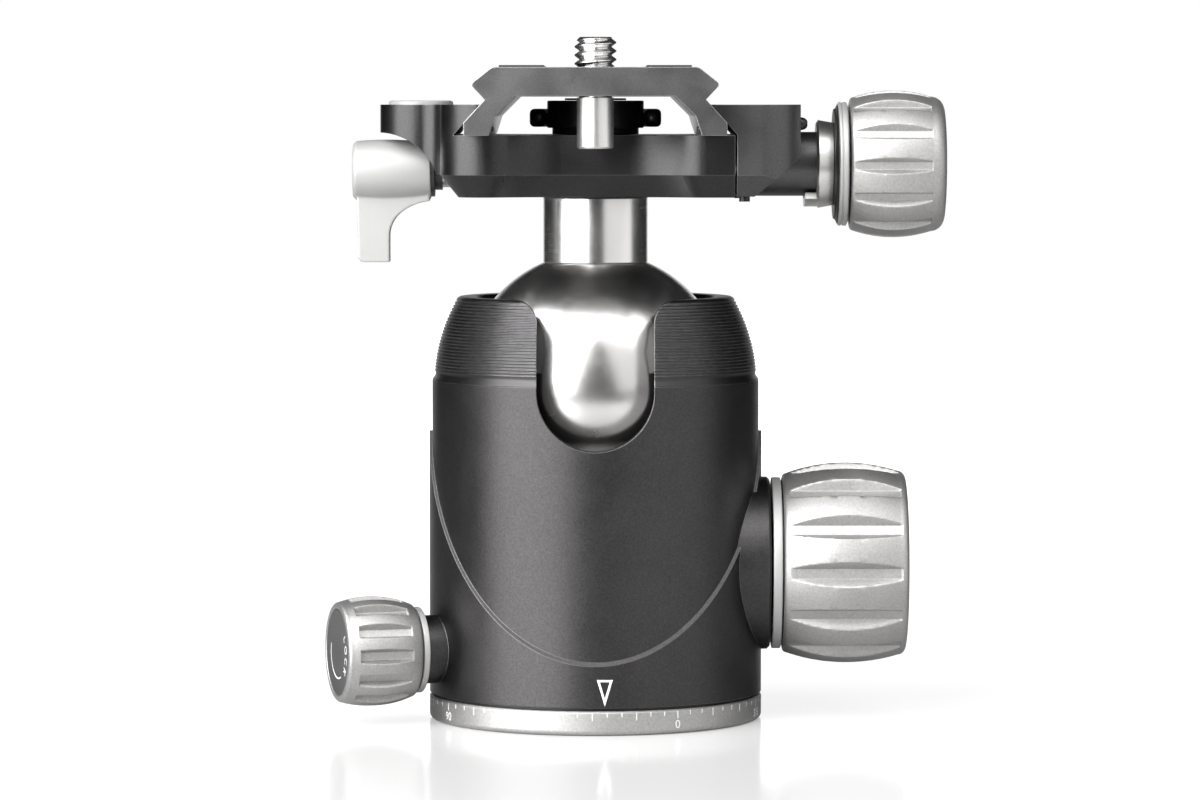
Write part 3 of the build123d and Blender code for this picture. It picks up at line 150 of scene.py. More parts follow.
SILVER_LIGHT = Finish("silver_fine_blasted", (0.50, 0.50, 0.495), 0.60, metallic=0.75, grain=0.10, mottle=0.03)
LEVER_CAST = Finish("silver_lever", (0.40, 0.40, 0.395), 0.52, metallic=0.40, grain=0.08, mottle=0.03)
SILVER_TURNED = turned("silver_turned", (0.72, 0.715, 0.71), 0.34, relief=0.0012, mottle=0.05, axis=(1.0, 0.0, 0.0))
BRIGHT_STEEL = turned("bright_steel_neck", (0.74, 0.73, 0.72), 0.25, grain=0.09, relief=0.0007, mottle=0.09)
BRUSHED_STEEL = Finish("brushed_steel_pin", (0.72, 0.715, 0.70), 0.34, relief=0.002, mottle=0.09)
BALL_STEEL = Finish("ball_steel", (0.66, 0.65, 0.64), 0.245, grain=0.09, relief=0.0026, mottle=0.05)
FASTENER_STEEL = turned("fastener_steel", (0.52, 0.52, 0.53), 0.28, grain=0.1, relief=0.001)
BLACK_OXIDE = Finish("black_oxide_steel", (0.030, 0.030, 0.031), 0.30, metallic=0.6, grain=0.15, mottle=0.15, wear=0.2)
BRASS = turned("turned_brass", (0.60, 0.43, 0.18), 0.26, grain=0.1, relief=0.001)
ACETAL = moulded("white_acetal", (0.72, 0.71, 0.67), 0.42, relief=0.001)
GREY_ACETAL = moulded("grey_acetal", (0.105, 0.103, 0.10), 0.40, relief=0.001)
BLACK_PLASTIC = moulded("black_plastic", (0.012, 0.012, 0.012), 0.42)
LEVEL_PLASTIC = moulded("level_ring_plastic", (0.30, 0.30, 0.29), 0.3)
RUBBER = moulded("rubber_pad", (0.016, 0.016, 0.016), 0.72, grain=0.35, relief=0.02)
WHITE_PAINT = moulded("white_mark_paint", (0.90, 0.90, 0.89), 0.55, relief=0.0006, mottle=0.03)


class NodeTree:
    """Places and links shader nodes in one tree."""

    def __init__(self, tree: bpy.types.NodeTree) -> None:
        """Keeps the tree that nodes go in."""
        self.tree = tree

    def feed(self, value: object, socket: Socket) -> None:
        """Gives an input its value.

        Args:
            value: A socket to link, a number, a vector or an RGB triple.
            socket: The input.
        """
        if isinstance(value, Socket):
            self.tree.links.new(value, socket)
        else:
            socket.default_value = (*value, 1.0) if socket.type == "RGBA" else value

    def add(self, kind: str, **settings: object) -> Node:
        """Adds a node and sets its properties and inputs.

        Args:
            kind: Blender's name for the node type.
            **settings: Attributes of the node, or inputs given as in_NAME or in_NUMBER.

        Returns:
            The new node.
        """
        node = self.tree.nodes.new(kind)
        for key, value in settings.items():
            if key.startswith("in_"):
                label = key[3:].replace("_", " ")
                self.feed(value, node.inputs[int(label) if label.isdigit() else label])
            else:
                setattr(node, key, value)
        return node

    def math(self, operation: str, *values: object) -> Socket:
        """Adds a Math node.

        Args:
            operation: Name of the operation.
            *values: A socket or a number for each input.

        Returns:
            The node's output.
        """
        node = self.add("ShaderNodeMath", operation=operation)
        for socket, value in zip(node.inputs, values):
            self.feed(value, socket)
        return node.outputs[0]

    def dot(self, first: Socket, second: Socket) -> Socket:
        """Dot product of two vectors."""
        return self.add("ShaderNodeVectorMath", operation="DOT_PRODUCT", in_0=first, in_1=second).outputs["Value"]

    def noise(self, place: Socket, scale: object, detail: float, rough: float) -> Socket:
        """Noise over a vector, with a scale that is a socket or a number."""
        node = self.add("ShaderNodeTexNoise", in_Vector=place, in_Scale=scale, in_Detail=detail, in_Roughness=rough)
        return node.outputs[0]

    def blend(self, factor: object, first: object, second: object) -> Socket:
        """Mixes two colours, by a factor of 0 for the first and 1 for the second."""
        return self.add("ShaderNodeMix", data_type="RGBA", in_0=factor, in_6=first, in_7=second).outputs[2]


def blank_material(name: str) -> tuple[Material, NodeTree, Node]:
    """A new material with its tree and its Principled shader."""
    material = bpy.data.materials.new(name)
    material.use_nodes = True
    return material, NodeTree(material.node_tree), material.node_tree.nodes["Principled BSDF"]


class EffectLibrary:
    """The shader node groups that the finishes share."""

    relief = ("Height", "Tone", "Roughness Shift")
    fine = (2.0, 0.55)  # Detail and roughness of the grain's noise. The three below have a scale first.
    slow = (190.0, 3.0, 0.6)
    slow_turned = (240.0, 4.0, 0.65)
    broken = (900.0, 3.0, 0.7)
    line_detail = 2.0
    speck = 3.0  # How much more the grain changes the tone than the slow noise does.
    grain_shift = 0.12
    line_shift = 0.08
    bevel_samples = 6
    wear_gain = 9.0

    def __init__(self) -> None:
        """Builds every group once."""
        self.grain = self._grain()
        self.lathe = self._lathe()
        self.wear = self._wear()

    @staticmethod
    def _group(name: str, inputs: dict[str, object], outputs: Sequence[str]) -> tuple:
        """Makes an empty group with named sockets.

        Args:
            name: Name of the group.
            inputs: Name and default of each input.
            outputs: Name of each output.

        Returns:
            A NodeTree on the group, its input node and its output node.
        """
        tree = bpy.data.node_groups.new(name, "ShaderNodeTree")
        for label, default in inputs.items():
            kind = "NodeSocketFloat" if isinstance(default, float) else "NodeSocketVector"
            tree.interface.new_socket(label, in_out="INPUT", socket_type=kind).default_value = default
        for label in outputs:
            kind = "NodeSocketVector" if label == "Normal" else "NodeSocketFloat"
            tree.interface.new_socket(label, in_out="OUTPUT", socket_type=kind)
        build = NodeTree(tree)
        return build, build.add("NodeGroupInput"), build.add("NodeGroupOutput")

    @staticmethod
    def _sinks(build: NodeTree, sink: Node, *values: Socket) -> bpy.types.NodeTree:
        """Feeds the outputs of a group in their order and gives the finished tree."""
        for value, socket in zip(values, sink.inputs):
            build.feed(value, socket)
        return build.tree

    @staticmethod
    def _tone(build: NodeTree, source: Node, swing: Socket) -> Socket:
        """Factor of the tone round 1 that an uneven value and the group's mottle give."""
        return build.math(
            "ADD", 1.0, build.math("MULTIPLY", swing, build.math("MULTIPLY", source.outputs["Mottle"], 2.0))
        )

    def _grain(self) -> bpy.types.NodeTree:
        """Fine blasted or moulded grain and the slow unevenness of tone over a surface.

        Returns:
            The group.
        """
        build, source, sink = self._group("Surface grain", {"Grain Size": 0.0001, "Mottle": 0.08}, self.relief)
        place = build.add("ShaderNodeTexCoord").outputs["Object"]
        fine = build.noise(place, build.math("DIVIDE", 1.0, source.outputs["Grain Size"]), *self.fine)
        slow = build.math("SUBTRACT", build.noise(place, *self.slow), 0.5)
        speck = build.math("MULTIPLY", build.math("SUBTRACT", fine, 0.5), self.speck)
        tone = self._tone(build, source, build.math("ADD", slow, speck))
        return self._sinks(build, sink, fine, tone, build.math("MULTIPLY", slow, self.grain_shift))

    def _lathe(self) -> bpy.types.NodeTree:
        """Turned lines round an axis, of uneven depth, as a cutting tool leaves them.

        Returns:
            The group.
        """
        inputs = {"Axis": (0.0, 0.0, 1.0), "Pitch": 0.0001, "Mottle": 0.05}
        build, source, sink = self._group("Turned lines", inputs, self.relief)
        place = build.add("ShaderNodeTexCoord").outputs["Object"]
        steps = build.math("DIVIDE", build.dot(place, source.outputs["Axis"]), source.outputs["Pitch"])
        lines = build.add(
            "ShaderNodeTexNoise", noise_dimensions="1D", in_W=steps, in_Scale=1.0, in_Detail=self.line_detail
        ).outputs[0]
        slow = build.math("SUBTRACT", build.noise(place, *self.slow_turned), 0.5)
        streak = build.math("ADD", slow, build.math("SUBTRACT", lines, 0.5))
        shift = build.math("MULTIPLY", streak, self.line_shift)
        return self._sinks(build, sink, lines, self._tone(build, source, streak), shift)

    def _wear(self) -> bpy.types.NodeTree:
        """Softened edges, and a broken mask along them where the anodising is rubbed through.

        Returns:
            The group.
        """
        build, source, sink = self._group("Edge wear", {"Radius": 0.0002, "Amount": 0.3}, ("Mask", "Normal"))
        place = build.add("ShaderNodeTexCoord").outputs["Object"]
        flat = build.add("ShaderNodeNewGeometry").outputs["Normal"]
        soft = build.add("ShaderNodeBevel", samples=self.bevel_samples, in_Radius=source.outputs["Radius"]).outputs[0]
        bend = build.math("SUBTRACT", 1.0, build.dot(soft, flat))
        broken = build.math("MULTIPLY", build.noise(place, *self.broken), self.wear_gain)
        worn = build.math("MULTIPLY", build.math("MULTIPLY", bend, broken), source.outputs["Amount"])
        return self._sinks(build, sink, build.add("ShaderNodeClamp", in_0=worn).outputs[0], soft)


class FinishShop:
    """Turns finishes into materials."""

    lens_alpha = 0.3
    lens_ior = 1.47
    lens_rough = 0.04
    lens_grain = 0.4
    lens_tints = ((0.95, 0.98, 0.93), WHITE)
    fluid_rough = 0.12
    fluid_grain = 1.2
    fluid_tints = ((0.40, 0.58, 0.05), (0.62, 0.80, 0.14))

    def __init__(self) -> None:
        """Builds the shared effects and an empty shelf of materials."""
        self.effects = EffectLibrary()
        self._made: dict[str, Material] = {}

    def material(self, finish: Finish) -> Material:
        """The material of a finish, built on first use."""
        if finish.name not in self._made:
            self._made[finish.name] = self._build(finish)
        return self._made[finish.name]

    def _build(self, finish: Finish) -> Material:
        """Builds the material of one finish.

        Args:
            finish: The finish to build.

        Returns:
            The new material.
        """
        material, build, shader = blank_material(finish.name)
        material.diffuse_color = (*finish.color, 1.0)
        if finish.texture is Texture.TURNED:
            group, inputs = self.effects.lathe, {"in_Axis": finish.axis, "in_Pitch": finish.grain * MM}
        else:
            group, inputs = self.effects.grain, {"in_Grain_Size": finish.grain * MM}
        relief = build.add("ShaderNodeGroup", node_tree=group, in_Mottle=finish.mottle, **inputs)
        wear = build.add(
            "ShaderNodeGroup", node_tree=self.effects.wear, in_Radius=finish.edge * MM, in_Amount=finish.wear
        )
        tone = relief.outputs["Tone"]
        toned = build.add("ShaderNodeVectorMath", operation="SCALE", in_0=finish.color, in_Scale=tone)
        color = build.blend(wear.outputs["Mask"], toned.outputs[0], finish.worn_color)
        build.feed(color, shader.inputs["Base Color"])
        build.feed(build.math("ADD", finish.rough, relief.outputs["Roughness Shift"]), shader.inputs["Roughness"])
        shader.inputs["Metallic"].default_value = finish.metallic
        bump = build.add(
            "ShaderNodeBump", in_Strength=1.0, in_Distance=finish.relief * MM, in_Height=relief.outputs["Height"],
            in_Normal=wear.outputs["Normal"],
        )
        build.feed(bump.outputs[0], shader.inputs["Normal"])
        return material

    def lens(self) -> Material:
        """Clear acrylic of the bubble level's window.

        Returns:
            The material.
        """
        material, build, shader = blank_material("clear_acrylic")
        shader.inputs["Transmission Weight"].default_value = 1.0
        shader.inputs["Alpha"].default_value = self.lens_alpha
        shader.inputs["IOR"].default_value = self.lens_ior
        grain = build.add("ShaderNodeGroup", node_tree=self.effects.grain, in_Grain_Size=self.lens_grain * MM)
        build.feed(build.math("ADD", self.lens_rough, grain.outputs["Roughness Shift"]), shader.inputs["Roughness"])
        build.feed(build.blend(0.5, *self.lens_tints), shader.inputs["Base Color"])
        return material

    def fluid(self) -> Material:
        """Yellow-green fluid of the bubble level, uneven in tone.

        Returns:
            The material.
        """
        material, build, shader = blank_material("level_fluid_green")
        grain = build.add("ShaderNodeGroup", node_tree=self.effects.grain, in_Grain_Size=self.fluid_grain * MM)
        build.feed(build.blend(grain.outputs["Height"], *self.fluid_tints), shader.inputs["Base Color"])
        shader.inputs["Roughness"].default_value = self.fluid_rough
        return material


# -------------------- Mesh building --------------------


@dataclass(frozen=True)
class Spindle:
    """A turning axis: an origin in millimetres, a direction along it and a direction square to it."""

    origin: Point3
    along: Point3
    side: Point3 = (0.0, 0.0, 1.0)

    def matrix(self) -> Matrix:
        """The spindle's own frame in the row frame.

        Returns:
            A matrix that carries local x to the side direction and local z along the axis.
        """
        z = Vector(self.along).normalized()
        x = Vector(self.side)
        x = (x - z * x.dot(z)).normalized()
        turn = Matrix((x, z.cross(x), z)).transposed().to_4x4()
        return Matrix.Translation(Vector([c * MM for c in self.origin])) @ turn


def across(y: float, z: float, along: float = 1.0) -> Spindle:
    """An axis that points along x, or against it with -1, at a y and a z in millimetres."""
    return Spindle((0.0, y, z), (along, 0.0, 0.0))


def upright(x: float = 0.0, y: float = 0.0) -> Spindle:
    """An axis that points up, at an x and a y in millimetres."""
    return Spindle((x, y, 0.0), (0.0, 0.0, 1.0), (1.0, 0.0, 0.0))


def polar(r: float, turn: float, along: float) -> Vector:
    """Point at a radius, an angle and a distance along local z, from millimetres to metres."""
    return Vector((r * MM * cos(turn), r * MM * sin(turn), along * MM))


def on_side(r: float, turn: float, z: float) -> Vector:
    """Point at a radius from the neck's axis, an angle to the right of the front and a height."""
    return Vector((r * MM * sin(turn), -r * MM * cos(turn), z * MM))


def smooth(mesh: Mesh) -> None:
    """Shades a mesh smooth, with sharp edges where its faces meet at more than an angle."""
    mesh.shade_smooth()
    mesh.set_sharp_from_angle(angle=SHARP_EDGE)


def linked(name: str, data: bpy.types.ID) -> Object:
    """A new object in the scene."""
    thing = bpy.data.objects.new(name, data)
    bpy.context.scene.collection.objects.link(thing)
    return thing


def taken(thing: Object) -> Mesh:
    """The mesh of an object with its modifiers, taken as the object is removed."""
    mesh = bpy.data.meshes.new_from_object(thing.evaluated_get(bpy.context.evaluated_depsgraph_get()))
    bpy.data.objects.remove(thing)
    return mesh


def rounded(points: Sequence[Point2], radius: float, steps: int = 3, closed: bool = False) -> list[Point2]:
    """Rounds the corners of a profile.

    Args:
        points: Corners of the profile.
        radius: Radius of each rounding, made smaller where the profile has no room.
        steps: Faces in each rounding.
        closed: Whether the last point joins the first.

    Returns:
        The profile with an arc at each corner.
    """
    folded, straight, room = radians(5), radians(165), 0.45
    count = len(points)
    result: list[Point2] = []
    for i, corner in enumerate(points):
        here = Vector(corner)
        before = Vector(points[i - 1]) - here
        after = Vector(points[(i + 1) % count]) - here
        at_end = not closed and i in (0, count - 1)
        if at_end or min(before.length, after.length) < 1e-9 or not folded <= before.angle(after) <= straight:
            result.append(corner)
            continue
        reach = min(radius / tan(before.angle(after) / 2), before.length * room, after.length * room)
        start = here + before.normalized() * reach
        end = here + after.normalized() * reach
        for k in range(steps + 1):
            t = k / steps
            point = start * (1 - t) ** 2 + here * 2 * t * (1 - t) + end * t * t
            result.append((point.x, point.y))
    return result


def arc(centre: Point2, radius: float, start: float, end: float, steps: int) -> list[Point2]:
    """Points along a circular arc between two angles in degrees."""
    turns = [radians(start + (end - start) * k / steps) for k in range(steps + 1)]
    return [(centre[0] + radius * cos(turn), centre[1] + radius * sin(turn)) for turn in turns]


def ring_section(start: float, end: float, bore: float, radius: float, edge: float) -> list[Point2]:
    """Half section of a plain ring with rounded edges, from its start to its end along the axis."""
    return rounded([(start, bore), (start, radius), (end, radius), (end, bore)], edge, closed=True)


def bulge(points: Sequence[Point2], x: float) -> float:
    """Height of the circle through three points.

    Args:
        points: The points, as distance and height.
        x: Distance at which the height is wanted.

    Returns:
        The height of the circle's upper half.
    """
    (x1, y1), (x2, y2), (x3, y3) = points
    d = 2 * (x1 * (y2 - y3) + x2 * (y3 - y1) + x3 * (y1 - y2))
    s1, s2, s3 = x1 * x1 + y1 * y1, x2 * x2 + y2 * y2, x3 * x3 + y3 * y3
    cx = (s1 * (y2 - y3) + s2 * (y3 - y1) + s3 * (y1 - y2)) / d
    cy = (s1 * (x3 - x2) + s2 * (x1 - x3) + s3 * (x2 - x1)) / d
    return cy + sqrt((x1 - cx) ** 2 + (y1 - cy) ** 2 - (x - cx) ** 2)


def shell(name: str, rows: Sequence[Sequence[Vector]], wrap: bool = False) -> Mesh:
    """Makes a closed mesh from rows of points that share one length.

    Args:
        name: Name of the mesh.
        rows: Rows of points, each row going round the piece.
        wrap: Whether the last row joins the first. Otherwise a face closes each end.

    Returns:
        The new mesh, with its faces outwards.
    """
    mesh = bpy.data.meshes.new(name)
    width = len(rows[0])
    faces = []
    for i in range(len(rows) if wrap else len(rows) - 1):
        j = (i + 1) % len(rows)
        for k in range(width):
            m = (k + 1) % width
            faces.append((i * width + k, i * width + m, j * width + m, j * width + k))
    if not wrap:
        faces.append(tuple(reversed(range(width))))
        faces.append(tuple((len(rows) - 1) * width + k for k in range(width)))
    mesh.from_pydata([point for row in rows for point in row], [], faces)
    mesh.update()
    work = bmesh.new()
    work.from_mesh(mesh)
    bmesh.ops.recalc_face_normals(work, faces=work.faces)
    work.to_mesh(mesh)
    work.free()
    return mesh


def lathe(name: str, profile: Sequence[Point2], spindle: Spindle, segments: int = 192) -> Mesh:
    """Turns a profile round a spindle.

    Args:
        name: Name of the mesh.
        profile: Points as distance along the spindle and radius, in millimetres. A first and a last point on the
            spindle give a solid piece, and otherwise the profile is closed as a ring.
        spindle: The axis.
        segments: Faces round the axis.

    Returns:
        The new mesh.
    """
    solid = profile[0][1] < ON_AXIS and profile[-1][1] < ON_AXIS
    kept = profile[1:-1] if solid else profile
    place = spindle.matrix()
    rows = [[place @ polar(r, 2 * pi * k / segments, a) for k in range(segments)] for a, r in kept]
    return shell(name, rows, wrap=not solid)


def slab(name: str, outline: Sequence[Point2], thickness: float, place: Matrix) -> Mesh:
    """Makes a flat piece from an outline in millimetres, with a thickness along its local z."""
    return shell(name, [[place @ Vector((x * MM, y * MM, z * MM)) for x, y in outline] for z in (0.0, thickness)])


def text_mesh(words: str, height: float, thickness: float, place: Matrix | None = None) -> Mesh:
    """Makes flat letters, centred on their origin and standing on local x.

    Args:
        words: What is written.
        height: Height of a capital in millimetres.
        thickness: Thickness of the letters in millimetres, on both sides of their plane.
        place: Carries local metres to the row frame, or None to leave the letters in millimetres.

    Returns:
        The new mesh.
    """
    capital = 0.70
    text = bpy.data.curves.new("letters", "FONT")
    text.body = words
    text.align_x = "CENTER"
    text.size = height / capital
    text.extrude = thickness
    text.resolution_u = 4
    mesh = taken(linked("letters", text))
    if place is not None:
        mesh.transform(place @ Matrix.Scale(MM, 4))
    return mesh


def merged(name: str, meshes: Iterable[Mesh]) -> Mesh:
    """Puts several meshes in a new one.

    Args:
        name: Name of the new mesh.
        meshes: The meshes.

    Returns:
        The new mesh.
    """
    work = bmesh.new()
    for mesh in meshes:
        work.from_mesh(mesh)
    result = bpy.data.meshes.new(name)
    work.to_mesh(result)
    work.free()
    return result


def cut(mesh: Mesh, tool: Mesh) -> Mesh:
    """Cuts one closed mesh with another.

    Args:
        mesh: The piece.
        tool: What is taken away from it.

    Returns:
        A new mesh of what is left, without the slivers that a cut can leave.
    """
    piece, cutter = linked("cut_piece", mesh), linked("cut_tool", tool)
    boolean = piece.modifiers.new("cut", "BOOLEAN")
    boolean.operation = "DIFFERENCE"
    boolean.solver = "EXACT"
    boolean.object = cutter
    result = taken(piece)
    bpy.data.objects.remove(cutter)
    work = bmesh.new()
    work.from_mesh(result)
    bmesh.ops.remove_doubles(work, verts=work.verts, dist=CUT_WELD * MM)
    bmesh.ops.dissolve_degenerate(work, edges=work.edges, dist=CUT_WELD * MM)
    work.to_mesh(result)
    work.free()
    return result


class Workshop:
    """Places and dresses the pieces that stand for CAD nodes or ride beside them."""

    def __init__(self, frame: dict, finishes: FinishShop) -> None:
        """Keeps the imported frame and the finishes."""
        self.frame = frame
        self.finishes = finishes

    def node(self, name: str) -> Object:
        """The CAD node of that name."""
        return self.frame["nodes"][name]

    def reach(self, name: str, spindle: Spindle) -> Point3:
        """How far a node reaches along a spindle and out from it.

        Args:
            name: Name of the node.
            spindle: The axis.

        Returns:
            Where the node starts and ends along the axis, and its largest radius, in millimetres.
        """
        into = spindle.matrix().inverted()
        points = [into @ vertex.co for vertex in self.node(name).data.vertices]
        along = [point.z / MM for point in points]
        return min(along), max(along), max(hypot(point.x, point.y) for point in points) / MM

    def dress(self, look: Finish | Material, thing: Object) -> None:
        """Shades an object smooth and puts a finish or a material on it in place of what it had."""
        smooth(thing.data)
        thing.data.materials.clear()
        thing.data.materials.append(self.finishes.material(look) if isinstance(look, Finish) else look)

    def place(self, mesh: Mesh, name: str, body: str, finish: Finish, *nodes: str) -> None:
        """Links a mesh as a piece of a body.

        Args:
            mesh: Mesh in the row frame, in metres.
            name: Name of the piece.
            body: CAD body that it rides on.
            finish: Its finish.
            *nodes: CAD nodes that it stands for.
        """
        thing = linked(name, mesh)
        self.dress(finish, thing)
        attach(thing, body)
        if nodes:
            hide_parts(*nodes)
        LOG.info("piece %s: %d faces on %s", name, len(mesh.polygons), body)

    def turn(
        self, name: str, body: str, finish: Finish, profile: Sequence[Point2], spindle: Spindle, *nodes: str,
        segments: int = 192,
    ) -> None:
        """Turns a profile round a spindle and places it as a piece of a body."""
        self.place(lathe(name, profile, spindle, segments), name, body, finish, *nodes)

    def keep(self, look: Finish | Material, *nodes: str) -> None:
        """Puts a finish or a material on CAD nodes that are shown as they are."""
        for name in nodes:
            self.dress(look, self.node(name))
            LOG.info("node %s: %s", name, look.name)


# -------------------- Base and housing --------------------


@dataclass
class DegreeMarks:
    """Ticks and numbers filled with white paint on the side of the base ring."""

    radius: float = 25.0
    lift: float = 0.012
    depth: float = 0.03
    letter_t: float = 0.02
    top_z: float = 3.42
    short: float = 0.65
    long: float = 1.15
    width: float = 0.15
    step_deg: int = 5
    long_step_deg: int = 15
    number_step_deg: int = 45
    zero_deg: float = 29.0
    number_h: float = 1.25
    number_z: float = 0.85

    def _point(self, from_front: float, z: float, outer: bool) -> Vector:
        """Point of the paint's outer or inner skin, at an angle to the right of the front in degrees."""
        return on_side(self.radius + (self.lift if outer else self.lift - self.depth), radians(from_front), z)

    def _tick(self, turn: int) -> Mesh:
        """Builds one tick as a thin curved patch.

        Args:
            turn: Its reading on the scale.

        Returns:
            The tick.
        """
        low = self.top_z - (self.long if turn % self.long_step_deg == 0 else self.short)
        half, middle = degrees(self.width / 2 / self.radius), self.zero_deg - turn
        outline = [(-half, low), (half, low), (half, self.top_z), (-half, self.top_z)]
        return shell("tick", [[self._point(middle + a, z, outer) for a, z in outline] for outer in (False, True)])

    def _number(self, turn: int) -> Mesh:
        """Builds one number, bent round the ring.

        Args:
            turn: Its reading on the scale.

        Returns:
            The number.
        """
        mesh = text_mesh(str(turn), self.number_h, self.letter_t)
        for vertex in mesh.vertices:
            x, y, z = vertex.co
            along = self.zero_deg - turn + degrees(x / self.radius)
            vertex.co = self._point(along, self.number_z + y, z > 0)
        return mesh

    def build(self, shop: Workshop) -> None:
        """Builds the ticks and the numbers.

        Args:
            shop: Workshop that places them.
        """
        ticks = merged("degree_ticks", [self._tick(turn) for turn in range(0, 360, self.step_deg)])
        shop.place(ticks, "degree_ticks", "base", WHITE_PAINT)
        numbers = merged("degree_numbers", [self._number(turn) for turn in range(0, 360, self.number_step_deg)])
        shop.place(numbers, "degree_numbers", "base", WHITE_PAINT)


@dataclass
class Base:
    """The fixed base: ring with degree marks, bush, hub, screws and slip washer."""

    marks: DegreeMarks = field(default_factory=DegreeMarks)

    def build(self, shop: Workshop) -> None:
        """Builds and dresses the base.

        Args:
            shop: Workshop that places the pieces.
        """
        shop.keep(SILVER, "base_ring")
        shop.keep(FASTENER_STEEL, "tripod_bush")
        shop.keep(SILVER_TURNED, "pan_hub")
        shop.keep(BLACK_OXIDE, "hub_screws")
        shop.keep(BLACK_PLASTIC, "slip_washer")
        self.marks.build(shop)


@dataclass
class Collar:
    """The collar: fine grooves turned into its outer face, and the drop notch through its front."""

    groove_pitch: float = 0.48
    groove_depth: float = 0.16
    floor_share: float = 0.30
    mouth_share: float = 0.62
    first_groove: float = 52.75
    last_groove: float = 63.0
    swell: Profile = ((52.3, 24.2), (57.7, 23.2), (63.3, 20.75))  # Three points of the grooved face.
    foot: Profile = (
        (46.0, 21.05), (46.0, 22.5), (51.0, 22.5), (51.0, 24.5), (51.2, 24.48), (51.75, 24.1), (52.15, 24.05),
        (52.45, 24.16),
    )
    seat: Profile = (
        (63.3, 20.75), (63.5, 20.4), (63.5, 18.12), (63.4, 18.0), (60.45, 17.45), (60.45, 18.67), (57.02, 21.05),
    )
    notch_r: float = 8.65
    notch_z: float = 50.2
    notch_corner: float = 3.3
    notch_reach: float = 30.0
    notch_over: float = 2.0
    segments: int = 288

    def _profile(self) -> list[Point2]:
        """Half section of the collar.

        Returns:
            Its spigot, foot, grooved swell, rim and seat, as height and radius.
        """
        points = list(self.foot)
        z = self.first_groove
        while z < self.last_groove:
            half = self.groove_pitch / 2
            floor_r = bulge(self.swell, z) - self.groove_depth
            low, high = z - half * self.mouth_share, z + half * self.mouth_share
            points.append((low, bulge(self.swell, low)))
            points.append((z - half * self.floor_share, floor_r))
            points.append((z + half * self.floor_share, floor_r))
            points.append((high, bulge(self.swell, high)))
            z += self.groove_pitch
        return points + list(self.seat)

    def _notch(self) -> Mesh:
        """Cutter for the drop notch.

        Returns:
            A block that is half round below, with straight sides and rounded top corners.
        """
        corner, top = self.notch_corner, self.seat[1][0]
        side = self.notch_r + corner
        outline = arc((0.0, self.notch_z), self.notch_r, 180, 360, 48)
        outline += arc((side, top - corner), corner, 180, 90, 10)
        outline += [(side, top + self.notch_over), (-side, top + self.notch_over)]
        outline += arc((-side, top - corner), corner, 90, 0, 10)
        return slab("notch_tool", outline, self.notch_reach, Matrix.Rotation(radians(90), 4, "X"))

    def build(self, shop: Workshop) -> None:
        """Builds the collar as the piece that stands for its node."""
        mesh = cut(lathe("collar_turned", self._profile(), upright(), self.segments), self._notch())
        shop.place(mesh, "collar_grooved", "housing", DARK_TURNED, "collar")


@dataclass
class IndexMark:
    """Outlined triangle painted on the housing above the degree marks."""

    radius: float = 25.0
    from_front_deg: float = 3.2
    low_z: float = 4.35
    high_z: float = 8.3
    width: float = 2.35
    line: float = 0.34
    lift: float = 0.012
    depth: float = 0.05
    side_steps: int = 6

    def _loop(self, outline: Sequence[Point2], sink: float) -> list[Vector]:
        """Bends a triangle round the housing.

        Args:
            outline: Its corners, as distance to the side and height.
            sink: Its depth below the paint's surface.

        Returns:
            Points along its sides.
        """
        points = []
        for k, (ax, az) in enumerate(outline):
            bx, bz = outline[(k + 1) % 3]
            for t in range(self.side_steps):
                x, z = ax + (bx - ax) * t / self.side_steps, az + (bz - az) * t / self.side_steps
                turn = radians(self.from_front_deg) + x / self.radius
                points.append(on_side(self.radius + self.lift - sink, turn, z))
        return points

    def build(self, shop: Workshop) -> None:
        """Builds the mark.

        Args:
            shop: Workshop that places it.
        """
        half, low, high = self.width / 2, self.low_z, self.high_z
        outer = [(0.0, low), (half, high), (-half, high)]
        slope = hypot(half, high - low)
        inner_half = half - self.line * (slope + half) / (high - low)
        inner_high = high - self.line
        inner = [(0.0, low + self.line * slope / half), (inner_half, inner_high), (-inner_half, inner_high)]
        loops = ((outer, 0.0), (inner, 0.0), (inner, self.depth), (outer, self.depth))
        mesh = shell("index_mark", [self._loop(outline, sink) for outline, sink in loops], wrap=True)
        shop.place(mesh, "index_mark", "housing", WHITE_PAINT)


@dataclass
class Housing:
    """The housing, its collar, its seat and what moves or is screwed into it."""

    collar: Collar = field(default_factory=Collar)
    index: IndexMark = field(default_factory=IndexMark)

    def build(self, shop: Workshop) -> None:
        """Builds and dresses the housing.

        Args:
            shop: Workshop that places the pieces.
        """
        shop.keep(DARK_ANODISED, "housing")
        shop.keep(GREY_ACETAL, "ball_cup")
        shop.keep(ACETAL, "pan_shoe")
        shop.keep(BLACK_PLASTIC, "upper_seat")
        shop.keep(BRASS, "lock_bush", "lift_plunger", "lock_wedge")
        shop.keep(BLACK_OXIDE, "retaining_screws")
        self.collar.build(shop)
        self.index.build(shop)


# -------------------- Knobs --------------------


